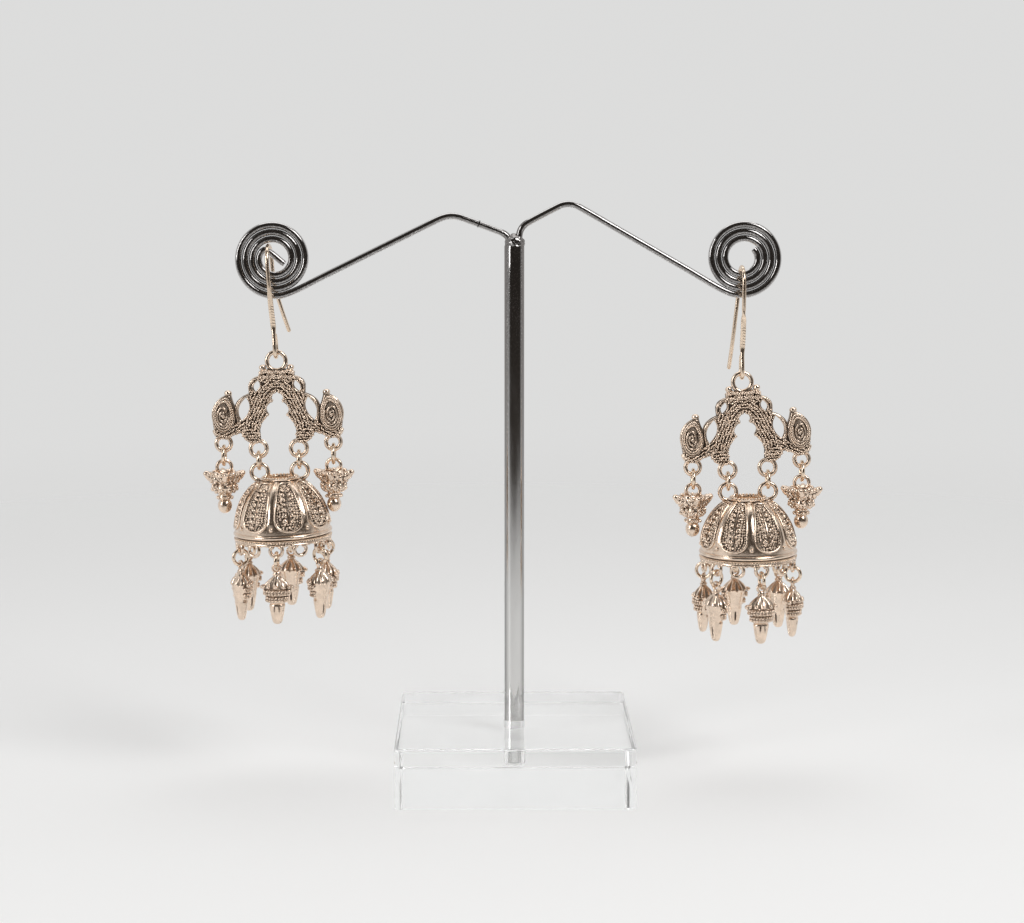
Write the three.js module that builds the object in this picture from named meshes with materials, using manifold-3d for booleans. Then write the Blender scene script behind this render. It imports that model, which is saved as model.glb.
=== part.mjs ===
// Pair of bell drop earrings hanging on a welded wire stand with a clear block foot.
// Units are millimetres. X runs to the right, Y runs away from the viewer and Z runs up.
// The origin is the middle of the foot's underside, on the axis of the post.

import * as THREE from 'three';
import { mergeVertices } from 'three/addons/utils/BufferGeometryUtils.js';
import Module from 'manifold-3d';

// Clearances: hanging links keep LINK_GAP to the wire that carries them.
const LINK_GAP = 0.2;
const HOOK_GAP = 0.2;

// Clear block that the post stands in.
const FOOT = { side: 50, height: 12.9, corner: 1.2, bevel: 0.5, boreRadius: 2.3, boreDepth: 7.5 };

// Welded wire frame of the stand: a post with two arms that end in flat spirals.
const POST = { radius: 2.1, top: 115.4, sides: 16, seatGap: 0.3 };
const ARM = { wire: 1.4, pitch: 1.45, outerRadius: 7.75, sides: 6, step: 1.9 };
const WELD = { radius: 2.35, x: 0.2, z: 115.2, flatten: 0.8 };

// One row per arm: the elbow over the post, the peak of the arm and the centre of its spiral.
// side is +1 to the right, slope is how steeply the arm runs down into the spiral, in degrees.
const ARM_ROWS = [
  {
    side: -1, rootX: -0.75, elbowX: -0.95, elbowZ: 116.8, peakX: -13.4, peakZ: 121.4, poleX: -50.44,
    poleZ: 111.97, slope: 25.3, turns: 3.3, endX: [-1.9, 2.3], endZ: [1.87, -1.07],
  },
  {
    side: 1, rootX: 0.75, elbowX: 1.15, elbowZ: 118.6, peakX: 11.4, peakZ: 124.0, poleX: 48.03,
    poleZ: 112.1, slope: 30.5, turns: 3.4, endX: [], endZ: [],
  },
];

// Ear hook: a round wire with a bow over the top, a shank, a closed eye and a free tail.
const HOOK = { wire: 0.86, bow: 3.4, eyeDrop: 23.45, eyeHalf: 1.25, eyeTop: 18.6, sides: 5, steps: 48 };

// Openwork casting that hangs in the hook. Heights are measured from the middle of its top ring.
const FRAME = { thick: 1.5, ring: 2.1, ringWire: 0.76 };
const INNER_LOOP = { x: 4.25, z: -18.35, radius: 1.65, wire: 0.8 };
const OUTER_LOOP = { x: 11.6, z: -17.15, radius: 1.47, wire: 0.78 };
const FRAME_BEADS = [
  { x: 3.05, z: -1.45, radius: 0.62 },
  { x: 10.35, z: -6.55, radius: 0.75 },
  { x: 13.0, z: -14.8, radius: 0.6 },
];

// Hollow bell with a collar, two loops on top and twelve small loops under its rim.
// Heights are measured from the rim, where the bell meets its band.
const DOME = { radius: 10.1, rise: 11.5, spring: 0.5, wall: 0.7, segments: 24, mouth: 3.4 };
const COLLAR = { radius: 4.6, low: 10.6, high: 11.35 };
const TOP_LOOP = { x: 4.25, z: 12.7, radius: 1.7, wire: 0.8 };
const RIM_LOOP = { count: 12, at: 9.75, z: -2.7, radius: 1.25, wire: 0.6 };

// Jump rings: the radius runs to the middle of the wire.
const DOME_LINK = { radius: 1.75, wire: 0.75 };
const SIDE_LINK = { radius: 1.95, wire: 0.7 };
const RIM_LINK = { radius: 1.6, wire: 0.62 };

// Drops with their own loops. Profile rows are [radius, height below the loop's middle].
const SIDE_DROP = { loop: 1.45, wire: 0.7, sides: 4, tip: 1.6, tipZ: -8.1 };
const SIDE_DROP_PROFILE = [
  [0, -1.35], [1.3, -1.5], [4.15, -1.2], [3.55, -2.7], [3.75, -3.0], [3.0, -4.4],
  [3.1, -4.7], [2.3, -6.1], [1.8, -6.6], [1.2, -8.8], [0, -9.8],
];
const RIM_DROP = { loop: 0.85, wire: 0.56, sides: 8, depth: 0.74, count: 6 };
const RIM_DROP_PROFILE = [
  [0, -0.75], [0.6, -0.8], [3.15, -4.3], [3.15, -4.9], [2.9, -5.1], [2.95, -6.4],
  [2.35, -6.6], [2.3, -7.9], [1.5, -8.2], [0.95, -11.6], [0, -11.9],
];

// How each earring hangs. Angles are degrees: lean and the tilts turn it anticlockwise as seen from the
// front, yaw turns the hook about the upright, and spin turns the bell's rim loops about its own axis.
// tailBend is how far the hook's tail is bent sideways at three points down its length, in mm.
// turns lists the way each rim drop faces, 0 with its worked side outwards and 180 inwards.
const EARRINGS = [
  {
    name: 'left', hookX: -51.5, hookZ: 114.75, lean: 3.2, yaw: -3, tailDrop: 18.8, frameTilt: 0.8,
    tailBend: [0.2, 1.3, 2.4], domeTilt: 2.2, spin: -4, turns: [0, 170, 20, 0, -15, 190],
  },
  {
    name: 'right', hookX: 47.8, hookZ: 110.2, lean: 0.7, yaw: 2, tailDrop: 22.1, frameTilt: 4.2,
    tailBend: [-0.7, -1.4, -2.0], domeTilt: 0.9, spin: 10.7, turns: [0, 0, 15, 0, -10, 180],
  },
];

const GOLD = { color: 0xc8a98a, roughness: 0.35, metalness: 1 };
const STEEL = { color: 0x9a9896, roughness: 0.25, metalness: 1 };
const ACRYLIC = { color: 0xf2f5f5, roughness: 0.05, metalness: 0 };

const WELD_TOLERANCE = 1e-4;
const wasm = await Module();
wasm.setup();

const radians = THREE.MathUtils.degToRad;

// Closed triangle mesh with shared corners and no collapsed triangles.
function tidied(geometry) {
  const bare = geometry.clone();
  bare.deleteAttribute('normal');
  bare.deleteAttribute('uv');
  const merged = mergeVertices(bare, WELD_TOLERANCE);
  const corners = merged.index.array;
  const kept = [];
  for (let i = 0; i < corners.length; i += 3) {
    const [a, b, c] = corners.slice(i, i + 3);
    if (a !== b && b !== c && c !== a) {
      kept.push(a, b, c);
    }
  }
  merged.setIndex(kept);
  return merged;
}

function solidOf(geometry) {
  const closed = tidied(geometry);
  return new wasm.Manifold(new wasm.Mesh({
    numProp: 3,
    vertProperties: Float32Array.from(closed.attributes.position.array),
    triVerts: Uint32Array.from(closed.index.array),
  }));
}

function geometryOf(solid) {
  const mesh = solid.getMesh();
  const geometry = new THREE.BufferGeometry();
  geometry.setAttribute('position', new THREE.BufferAttribute(mesh.vertProperties, 3));
  geometry.setIndex(new THREE.BufferAttribute(mesh.triVerts, 1));
  geometry.computeVertexNormals();
  return geometry;
}

function joined(geometries) {
  const [first, ...rest] = geometries.map(solidOf);
  return geometryOf(rest.reduce((whole, next) => whole.add(next), first));
}

function piece(name, geometry, finish) {
  const mesh = new THREE.Mesh(geometry, new THREE.MeshStandardMaterial(finish));
  mesh.name = name;
  return mesh;
}

// Wire along a list of points: a polygon section carried along a smooth curve.
function wireAlong(points, diameter, sides, steps) {
  const section = new THREE.Shape();
  for (let i = 0; i < sides; i += 1) {
    const angle = (i / sides) * 2 * Math.PI;
    const corner = [0.5 * diameter * Math.cos(angle), 0.5 * diameter * Math.sin(angle)];
    if (i === 0) {
      section.moveTo(...corner);
    } else {
      section.lineTo(...corner);
    }
  }
  section.closePath();
  const path = new THREE.CatmullRomCurve3(points, false, 'centripetal');
  return new THREE.ExtrudeGeometry(section, { steps, extrudePath: path, bevelEnabled: false });
}

// Wire ring that faces the viewer, and one that is seen edge on.
function facingRing(radius, wire, sides = 5, segments = 12) {
  return new THREE.TorusGeometry(radius, 0.5 * wire, sides, segments).rotateX(0.5 * Math.PI);
}

function edgeOnRing(radius, wire, sides = 5, segments = 12) {
  return new THREE.TorusGeometry(radius, 0.5 * wire, sides, segments).rotateY(0.5 * Math.PI);
}

// Turned solid about the upright axis from rows of [radius, height].
function turned(rows, segments) {
  const profile = rows.map(([radius, height]) => new THREE.Vector2(radius, height)).reverse();
  return new THREE.LatheGeometry(profile, segments).rotateX(0.5 * Math.PI);
}

function makeFoot() {
  const half = 0.5 * FOOT.side - FOOT.bevel;
  const outline = new THREE.Shape();
  for (let quarter = 0; quarter < 4; quarter += 1) {
    const start = (quarter * Math.PI) / 2;
    const reach = half - FOOT.corner;
    const centreX = reach * Math.SQRT2 * Math.cos(start + Math.PI / 4);
    const centreY = reach * Math.SQRT2 * Math.sin(start + Math.PI / 4);
    outline.absarc(centreX, centreY, FOOT.corner, start, start + Math.PI / 2);
  }
  outline.closePath();
  const block = new THREE.ExtrudeGeometry(outline, {
    depth: FOOT.height - 2 * FOOT.bevel,
    curveSegments: 2,
    bevelThickness: FOOT.bevel,
    bevelSize: FOOT.bevel,
    bevelSegments: 1,
  }).translate(0, 0, FOOT.bevel);
  const boreLength = 2 * FOOT.boreDepth;
  const bore = new THREE.CylinderGeometry(FOOT.boreRadius, FOOT.boreRadius, boreLength, POST.sides)
    .rotateX(0.5 * Math.PI)
    .translate(0, 0, FOOT.height);
  return geometryOf(solidOf(block).subtract(solidOf(bore)));
}

// Centre line of one arm: up out of the post, over the peak and into the flat spiral.
function armPoints(row) {
  const elbow = new THREE.Vector3(row.elbowX, 0, row.elbowZ);
  const peak = new THREE.Vector3(row.peakX, 0, row.peakZ);
  const root = new THREE.Vector3(row.rootX, 0, POST.top - 3);
  const spiral = [];
  const lead = row.slope / 360;
  for (let turn = -lead; turn <= row.turns; turn += 1 / 20) {
    const radius = ARM.outerRadius - ARM.pitch * turn;
    const angle = 2 * Math.PI * turn;
    const x = row.poleX + row.side * radius * Math.sin(angle);
    spiral.push(new THREE.Vector3(x, 0, row.poleZ - radius * Math.cos(angle)));
  }
  row.endX.forEach((x, i) => spiral.push(new THREE.Vector3(row.poleX + x, 0, row.poleZ + row.endZ[i])));
  const corners = [root, elbow, peak, spiral[0]];
  const rounds = [1.9, 2.6];
  const points = [root];
  for (let i = 1; i < corners.length - 1; i += 1) {
    const before = corners[i].clone().sub(corners[i - 1]).setLength(rounds[i - 1]);
    const after = corners[i + 1].clone().sub(corners[i]).setLength(rounds[i - 1]);
    const start = corners[i].clone().sub(before);
    const end = corners[i].clone().add(after);
    points.push(...new THREE.QuadraticBezierCurve3(start, corners[i], end).getPoints(4));
  }
  const straight = new THREE.LineCurve3(points[points.length - 1], spiral[0]);
  points.push(...straight.getPoints(4).slice(1, 4));
  return [...points, ...spiral];
}

function makeStandFrame() {
  const low = FOOT.height - FOOT.boreDepth + POST.seatGap;
  const length = POST.top - low;
  const post = new THREE.CylinderGeometry(POST.radius, POST.radius, length, POST.sides)
    .rotateX(0.5 * Math.PI)
    .translate(0, 0, low + 0.5 * length);
  const weld = new THREE.IcosahedronGeometry(WELD.radius, 1)
    .scale(1, 1, WELD.flatten)
    .translate(WELD.x, 0, WELD.z);
  const arms = ARM_ROWS.map((row) => {
    const points = armPoints(row);
    const reach = new THREE.CatmullRomCurve3(points, false, 'centripetal').getLength();
    return wireAlong(points, ARM.wire, ARM.sides, Math.round(reach / ARM.step));
  });
  return joined([post, weld, ...arms]);
}

// The hook lies in its own YZ plane with the top of its bow at the origin, and its tail bends out of it.
function makeHook(tailDrop, tailBend) {
  const at = (y, z, x = 0) => new THREE.Vector3(x, y, z);
  const shutGap = HOOK.wire + 0.25;
  const eyeLow = -HOOK.eyeDrop;
  const points = [
    at(shutGap - 0.75, -HOOK.eyeTop + 0.1),
    at(HOOK.eyeHalf * 0.8, -HOOK.eyeTop - 1.3),
    at(HOOK.eyeHalf, eyeLow + 2.2),
    at(HOOK.eyeHalf * 0.75, eyeLow + 0.5),
    at(0, eyeLow),
    at(-HOOK.eyeHalf * 0.75, eyeLow + 0.5),
    at(-HOOK.eyeHalf, eyeLow + 2.2),
    at(-HOOK.eyeHalf * 0.85, -HOOK.eyeTop - 0.6),
    at(-0.3 * HOOK.bow, -HOOK.eyeTop + 1.6),
    at(-0.66 * HOOK.bow, -13),
    at(-0.93 * HOOK.bow, -7.5),
  ];
  const bowSteps = 10;
  for (let i = 0; i <= bowSteps; i += 1) {
    const angle = Math.PI * (1 - i / bowSteps);
    points.push(at(HOOK.bow * Math.cos(angle), HOOK.bow * (Math.sin(angle) - 1)));
  }
  points.push(at(HOOK.bow + 0.3, -0.45 * tailDrop, tailBend[0]));
  points.push(at(HOOK.bow + 1.0, -0.75 * tailDrop, tailBend[1]));
  points.push(at(HOOK.bow + 2.2, -tailDrop, tailBend[2]));
  return wireAlong(points, HOOK.wire, HOOK.sides, HOOK.steps);
}

// Half of the casting's outline, from the top ring round the lobe and leg into the cusped arch.
// Each row is a line to a point, or a bend through a control point to a point, as x and z.
function frameOutline(side) {
  const shape = new THREE.Shape();
  const half = [
    ['to', 2.4, -1.6], ['to', 3.7, -2.0], ['to', 3.75, -3.0],
    ['bend', 6.1, -3.4, 6.0, -5.2], ['to', 5.9, -6.6],
    ['bend', 8.6, -7.4, 8.95, -9.2],
    ['bend', 9.5, -8.2, 9.75, -6.6], ['to', 11.0, -6.9],
    ['bend', 13.9, -8.6, 13.75, -11.5], ['bend', 13.7, -13.4, 13.35, -14.6], ['to', 13.0, -16.0],
    ['to', 10.9, -16.2], ['bend', 9.4, -15.2, 7.7, -14.9], ['bend', 7.2, -16.6, 5.6, -17.1],
    ['to', 3.75, -17.0], ['to', 3.8, -15.2], ['bend', 4.2, -13.2, 2.1, -11.2],
    ['bend', 3.2, -9.4, 1.2, -8.3], ['bend', 1.9, -7.0, 0, -6.2],
  ];
  shape.moveTo(0, -1.6);
  for (const [kind, ...numbers] of half) {
    const placed = numbers.map((number, i) => (i % 2 === 0 ? side * number : number));
    if (kind === 'to') {
      shape.lineTo(...placed);
    } else {
      shape.quadraticCurveTo(...placed);
    }
  }
  return shape;
}

// Pointed eye-shaped hole between two points, as wide as twice the swell of its sides.
function lensHole(x, topZ, lowX, lowZ, swell) {
  const hole = new THREE.Path();
  const middleX = 0.5 * (x + lowX);
  const middleZ = 0.5 * (topZ + lowZ);
  hole.moveTo(x, topZ);
  hole.quadraticCurveTo(middleX - swell, middleZ, lowX, lowZ);
  hole.quadraticCurveTo(middleX + swell, middleZ, x, topZ);
  return hole;
}

function makeFrame() {
  const solids = [facingRing(FRAME.ring, FRAME.ringWire, 5, 14)];
  for (const side of [-1, 1]) {
    const half = frameOutline(side);
    half.holes.push(lensHole(side * 3.95, -3.7, side * 4.6, -6.3, 1.5));
    half.holes.push(lensHole(side * 6.5, -7.2, side * 7.7, -12.5, 2.3));
    solids.push(new THREE.ExtrudeGeometry(half, { depth: FRAME.thick, curveSegments: 4, bevelEnabled: false })
      .rotateX(0.5 * Math.PI)
      .translate(0, 0.5 * FRAME.thick, 0));
    for (const loop of [INNER_LOOP, OUTER_LOOP]) {
      solids.push(facingRing(loop.radius, loop.wire).translate(side * loop.x, 0, loop.z));
    }
    for (const bead of FRAME_BEADS) {
      solids.push(new THREE.IcosahedronGeometry(bead.radius, 0).translate(side * bead.x, 0, bead.z));
    }
  }
  return joined(solids);
}

// Rows of [radius, height] along the bell's curve, inset from its outside by a wall.
function bellRows(inset, topRadius, steps) {
  const radius = DOME.radius - inset;
  const rise = DOME.rise - inset;
  const last = Math.acos(topRadius / radius);
  const rows = [];
  for (let i = 0; i <= steps; i += 1) {
    const angle = last * (1 - i / steps);
    rows.push([radius * Math.cos(angle), DOME.spring + rise * Math.sin(angle)]);
  }
  return rows;
}

function makeDome(spin) {
  const outside = bellRows(0, COLLAR.radius + 0.25, 5);
  const inside = bellRows(DOME.wall, DOME.mouth, 4).reverse();
  const rows = [
    [DOME.mouth, COLLAR.high], [COLLAR.radius - 0.2, COLLAR.high], [COLLAR.radius, COLLAR.low + 0.2],
    ...outside,
    [10.4, 0.1], [10.4, -0.8], [9.95, -1.9], [9.3, -1.9],
    ...inside,
  ];
  rows.push(rows[0]);
  const shell = turned(rows, DOME.segments);
  const loops = [-1, 1].map((side) => (
    facingRing(TOP_LOOP.radius, TOP_LOOP.wire).translate(side * TOP_LOOP.x, 0, TOP_LOOP.z)
  ));
  for (let i = 0; i < RIM_LOOP.count; i += 1) {
    loops.push(facingRing(RIM_LOOP.radius, RIM_LOOP.wire, 4, 8)
      .translate(0, -RIM_LOOP.at, RIM_LOOP.z)
      .rotateZ(radians(spin + (i * 360) / RIM_LOOP.count)));
  }
  return joined([shell, ...loops]);
}

function makeSideDrop() {
  const body = turned(SIDE_DROP_PROFILE, SIDE_DROP.sides);
  const loop = facingRing(SIDE_DROP.loop, SIDE_DROP.wire);
  const tip = new THREE.IcosahedronGeometry(SIDE_DROP.tip, 1).translate(0, 0, SIDE_DROP.tipZ);
  return joined([body, loop, tip]);
}

function makeRimDrop() {
  const body = turned(RIM_DROP_PROFILE, RIM_DROP.sides).scale(1, RIM_DROP.depth, 1);
  const loop = facingRing(RIM_DROP.loop, RIM_DROP.wire, 4, 8);
  return joined([body, loop]);
}

function groupAt(parent, x, y, z) {
  const group = new THREE.Group();
  group.position.set(x, y, z);
  parent.add(group);
  return group;
}

// How far the middle of a hanging wire lies above the wire that it passes through.
function linkReach(wireA, wireB) {
  return 0.5 * (wireA + wireB) + LINK_GAP;
}

function addSideDrops(frameGroup, row) {
  const barZ = OUTER_LOOP.z - OUTER_LOOP.radius;
  const linkZ = linkReach(OUTER_LOOP.wire, SIDE_LINK.wire) - SIDE_LINK.radius;
  const dropZ = linkZ - SIDE_LINK.radius + linkReach(SIDE_LINK.wire, SIDE_DROP.wire) - SIDE_DROP.loop;
  [-1, 1].forEach((side, i) => {
    const hung = groupAt(frameGroup, side * OUTER_LOOP.x, 0, barZ - FRAME.ring);
    hung.rotation.y = radians(row.frameTilt);
    const link = piece(`${row.name}_side_link_${i + 1}`, edgeOnRing(SIDE_LINK.radius, SIDE_LINK.wire), GOLD);
    link.position.z = linkZ;
    const drop = piece(`${row.name}_side_drop_${i + 1}`, makeSideDrop(), GOLD);
    drop.position.z = dropZ;
    drop.rotation.z = radians(-12 * side);
    hung.add(link, drop);
  });
}

function addRimDrops(domeGroup, row, rimZ) {
  const barZ = RIM_LOOP.z - RIM_LOOP.radius;
  const linkZ = linkReach(RIM_LOOP.wire, RIM_LINK.wire) - RIM_LINK.radius;
  const dropZ = linkZ - RIM_LINK.radius + linkReach(RIM_LINK.wire, RIM_DROP.wire) - RIM_DROP.loop;
  for (let i = 0; i < RIM_DROP.count; i += 1) {
    const azimuth = radians(row.spin + (i * 360) / RIM_DROP.count);
    const x = RIM_LOOP.at * Math.sin(azimuth);
    const y = -RIM_LOOP.at * Math.cos(azimuth);
    const plumb = groupAt(domeGroup, x, y, rimZ + barZ);
    plumb.rotation.y = radians(row.domeTilt);
    const hung = groupAt(plumb, 0, 0, 0);
    hung.rotation.z = azimuth;
    const ring = edgeOnRing(RIM_LINK.radius, RIM_LINK.wire, 4, 8);
    const link = piece(`${row.name}_rim_link_${i + 1}`, ring, GOLD);
    link.position.z = linkZ;
    const drop = piece(`${row.name}_rim_drop_${i + 1}`, makeRimDrop(), GOLD);
    drop.position.z = dropZ;
    drop.rotation.z = radians(row.turns[i]);
    hung.add(link, drop);
  }
}

// The bell hangs by two jump rings on the casting's inner loops. The group's origin lies on the line
// through the bottoms of those loops, which is the line that the bell swings about.
function addDome(frameGroup, row) {
  const barZ = INNER_LOOP.z - INNER_LOOP.radius - FRAME.ring;
  const domeGroup = groupAt(frameGroup, 0, 0, barZ);
  const turn = radians(row.domeTilt - row.frameTilt);
  domeGroup.rotation.y = -turn;
  const held = linkReach(INNER_LOOP.wire, DOME_LINK.wire) + linkReach(DOME_LINK.wire, TOP_LOOP.wire);
  const hang = 2 * DOME_LINK.radius - held;
  const rimZ = -hang - TOP_LOOP.radius - TOP_LOOP.z;
  const dome = piece(`${row.name}_dome`, makeDome(row.spin), GOLD);
  dome.position.z = rimZ;
  domeGroup.add(dome);
  [-1, 1].forEach((side, i) => {
    const link = piece(`${row.name}_dome_link_${i + 1}`, edgeOnRing(DOME_LINK.radius, DOME_LINK.wire), GOLD);
    const slack = 0.5 * side * TOP_LOOP.x * Math.sin(-turn);
    link.position.set(side * TOP_LOOP.x, 0, -0.5 * hang + slack);
    domeGroup.add(link);
  });
  addRimDrops(domeGroup, row, rimZ);
}

function makeEarring(row) {
  const earring = new THREE.Group();
  const leaning = groupAt(earring, row.hookX, 0, row.hookZ);
  leaning.rotation.y = radians(-row.lean);
  const hook = piece(`${row.name}_ear_hook`, makeHook(row.tailDrop, row.tailBend), GOLD);
  hook.rotation.z = radians(row.yaw);
  leaning.add(hook);
  const lean = radians(row.lean);
  const hang = 0.5 * (HOOK.wire + FRAME.ringWire) + HOOK_GAP;
  const pivotX = row.hookX + HOOK.eyeDrop * Math.sin(lean);
  const pivotZ = row.hookZ - HOOK.eyeDrop * Math.cos(lean) + hang;
  const frameGroup = groupAt(earring, pivotX, 0, pivotZ);
  frameGroup.rotation.y = radians(-row.frameTilt);
  const frame = piece(`${row.name}_frame`, makeFrame(), GOLD);
  frame.position.z = -FRAME.ring;
  frameGroup.add(frame);
  addSideDrops(frameGroup, row);
  addDome(frameGroup, row);
  return earring;
}

const display = new THREE.Group();
display.add(piece('stand_foot', makeFoot(), ACRYLIC));
display.add(piece('stand_frame', makeStandFrame(), STEEL));
for (const row of EARRINGS) {
  display.add(makeEarring(row));
}

export default display;
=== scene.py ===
# %% [markdown]
# # A pair of bell earrings on a wire stand
# Two cast earrings hang on a bent steel wire stand that is set in a clear block. The CAD model
# already fixes where every part is and how it moves. This lesson builds what the eye sees around
# that frame: granules, ropes and wires of gold, worn steel and polished acrylic.
# We model in millimetres, because a maker measures jewellery that way, and turn each finished mesh
# into metres when it is set in place.

# %% Load the frame
import math
import random

import bmesh
import bpy
import numpy as np
from mathutils import Matrix, Vector, noise
from mathutils.bvhtree import BVHTree


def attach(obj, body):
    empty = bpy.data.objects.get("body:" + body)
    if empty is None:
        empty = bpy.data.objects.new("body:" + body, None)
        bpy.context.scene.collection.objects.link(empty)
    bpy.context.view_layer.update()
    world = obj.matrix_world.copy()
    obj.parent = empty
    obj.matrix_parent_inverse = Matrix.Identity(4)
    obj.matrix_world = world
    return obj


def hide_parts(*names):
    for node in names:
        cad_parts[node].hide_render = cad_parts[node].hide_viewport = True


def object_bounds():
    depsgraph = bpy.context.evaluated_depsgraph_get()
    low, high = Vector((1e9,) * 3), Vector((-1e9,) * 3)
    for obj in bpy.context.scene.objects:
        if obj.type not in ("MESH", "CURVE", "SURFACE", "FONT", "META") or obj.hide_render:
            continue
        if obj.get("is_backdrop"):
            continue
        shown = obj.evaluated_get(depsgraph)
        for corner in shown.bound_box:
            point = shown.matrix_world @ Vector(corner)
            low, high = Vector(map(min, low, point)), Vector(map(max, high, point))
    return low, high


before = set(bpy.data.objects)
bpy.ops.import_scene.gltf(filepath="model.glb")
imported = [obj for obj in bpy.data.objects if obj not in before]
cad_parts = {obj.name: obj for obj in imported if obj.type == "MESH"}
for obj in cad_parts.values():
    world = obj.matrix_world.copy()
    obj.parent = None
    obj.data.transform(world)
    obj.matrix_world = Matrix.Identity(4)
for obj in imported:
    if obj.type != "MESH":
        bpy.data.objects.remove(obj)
cad_low, cad_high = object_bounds()
scene = bpy.context.scene
MM = 0.001
print("CAD box in mm:", [round(v / MM, 1) for v in (*cad_low, *cad_high)])

# %% [markdown]
# ## The camera
# The photograph was taken from a little above, with a short telephoto lens. A camera is only a
# place, a turn and a lens, so we write those three down. Depth of field stays off, because the
# same camera is carried round the object for the other views.

# %% Camera
camera_data = bpy.data.cameras.new("photo_camera")
camera_data.lens = 81.25
camera_data.sensor_width = 36
camera_data.clip_start = 0.01
camera = bpy.data.objects.new("photo_camera", camera_data)
camera.location = (-0.0054, -0.4857, 0.1384)
camera.rotation_euler = (math.radians(90 - 8.13), 0, math.radians(-0.58))
scene.collection.objects.link(camera)
scene.camera = camera
print("camera at", tuple(camera.location))

# %% [markdown]
# ## Small helpers for nodes and parts
# Materials, worlds and geometry nodes are all trees of nodes. One helper that makes a node, sets
# its options and fills or links its sockets keeps the trees short to read. Others name a group's
# sockets and start a material. The last two put a mesh in the scene, so that every part can be
# looked at as an object while it is being made.

# %% Node and object helpers
def fill(tree, node, inputs):
    for key, value in inputs.items():
        if isinstance(value, bpy.types.NodeSocket):
            tree.links.new(value, node.inputs[key])
        else:
            node.inputs[key].default_value = value


def add_node(tree, kind, inputs=None, **settings):
    made = tree.nodes.new(kind)
    for key, value in settings.items():
        setattr(made, key, value)
    fill(tree, made, inputs or {})
    return made


def maths(tree, operation, a, b=0.0):
    return add_node(tree, "ShaderNodeMath", {0: a, 1: b}, operation=operation).outputs[0]


def eased(tree, value, low, high, to_low=0.0, to_high=1.0):
    ends = {"Value": value, "From Min": low, "From Max": high, "To Min": to_low, "To Max": to_high}
    return add_node(tree, "ShaderNodeMapRange", ends, interpolation_type="SMOOTHSTEP").outputs[0]


def mixed(tree, share, a, b):
    return add_node(tree, "ShaderNodeMix", {0: share, 2: a, 3: b}, data_type="FLOAT").outputs[0]


def mixed_colour(tree, share, a, b):
    return add_node(tree, "ShaderNodeMix", {0: share, 6: a, 7: b}, data_type="RGBA").outputs[2]


def add_sockets(tree, way, sockets):
    for label, kind, *start in sockets:
        made = tree.interface.new_socket(name=label, in_out=way, socket_type="NodeSocket" + kind)
        if start:
            made.default_value = start[0]


def new_finish(name):
    made = bpy.data.materials.new(name)
    made.use_nodes = True
    return made, made.node_tree, made.node_tree.nodes["Principled BSDF"]


def in_scene(name, data):
    obj = bpy.data.objects.new(name, data)
    scene.collection.objects.link(obj)
    return obj


def from_bmesh(name, bm):
    bmesh.ops.recalc_face_normals(bm, faces=bm.faces[:])
    mesh = bpy.data.meshes.new(name)
    bm.to_mesh(mesh)
    bm.free()
    return in_scene(name, mesh)


print("helpers ready in Blender", bpy.app.version_string)

# %% [markdown]
# ## Floor and light
# The set is a plain pale floor under soft light. Polished metal shows what it mirrors, so the
# light matters as much as the metal: pale all round, with a darker patch where the viewer stands.
# That patch gives round wire its dark middle and bright edges. The floor fades out with distance,
# so it melts into the pale surroundings and leaves no horizon line.

# %% Floor
FLOOR_RADIUS, FLOOR_GAP = 1.5, 0.0001
FADE_FROM, FADE_TO = 0.07, 0.60
FRONT_FADE_FROM, FRONT_FADE_TO = -0.26, -0.48
bm = bmesh.new()
bmesh.ops.create_circle(bm, cap_ends=True, segments=128, radius=FLOOR_RADIUS)
bmesh.ops.translate(bm, verts=bm.verts[:], vec=(0, 0, -FLOOR_GAP))
floor = from_bmesh("floor", bm)
floor_finish, tree, shader = new_finish("pale_floor")
floor_place = add_node(tree, "ShaderNodeTexCoord").outputs["Object"]
away = add_node(tree, "ShaderNodeVectorMath", {0: floor_place}, operation="LENGTH").outputs["Value"]
depth = add_node(tree, "ShaderNodeSeparateXYZ", {0: floor_place}).outputs["Y"]
near_share = eased(tree, away, FADE_FROM, FADE_TO, 1.0, 0.0)
front_share = eased(tree, depth, FRONT_FADE_TO, FRONT_FADE_FROM)
fill(tree, shader, {
    "Base Color": (0.92, 0.92, 0.915, 1),
    "Roughness": 0.6,
    "Specular IOR Level": 0.2,
    "Alpha": maths(tree, "MULTIPLY", near_share, front_share),
})
floor.data.materials.append(floor_finish)
floor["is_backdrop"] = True
print("floor radius", FLOOR_RADIUS, "m")

# %% Surroundings
PALE_SKY = (0.66, 0.66, 0.66, 1)
SEEN_SKY = (0.72, 0.72, 0.715, 1)
THROUGH_SKY = (0.86, 0.86, 0.855, 1)
DARK_FRONT = (0.060, 0.052, 0.046, 1)
FRONT_AIM = Vector((0.17, -1.0, 0.26)).normalized()
DARK_EDGE, DARK_CORE = 84, 58
world = bpy.data.worlds.new("soft_studio")
world.use_nodes = True
scene.world = world
tree = world.node_tree
tree.nodes.clear()
heading = add_node(tree, "ShaderNodeTexCoord").outputs["Generated"]
towards_front = add_node(
    tree, "ShaderNodeVectorMath", {0: heading, 1: FRONT_AIM}, operation="DOT_PRODUCT"
).outputs["Value"]
front_patch = eased(
    tree, towards_front, math.cos(math.radians(DARK_EDGE)), math.cos(math.radians(DARK_CORE))
)
mirrored_sky = mixed_colour(tree, front_patch, PALE_SKY, DARK_FRONT)
rays = add_node(tree, "ShaderNodeLightPath").outputs
behind = mixed_colour(tree, rays["Is Transmission Ray"], mirrored_sky, THROUGH_SKY)
sky = mixed_colour(tree, rays["Is Camera Ray"], behind, SEEN_SKY)
glow = add_node(tree, "ShaderNodeBackground", {"Color": sky, "Strength": 1.0})
add_node(tree, "ShaderNodeOutputWorld", {"Surface": glow.outputs[0]})
print("surroundings ready")

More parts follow.
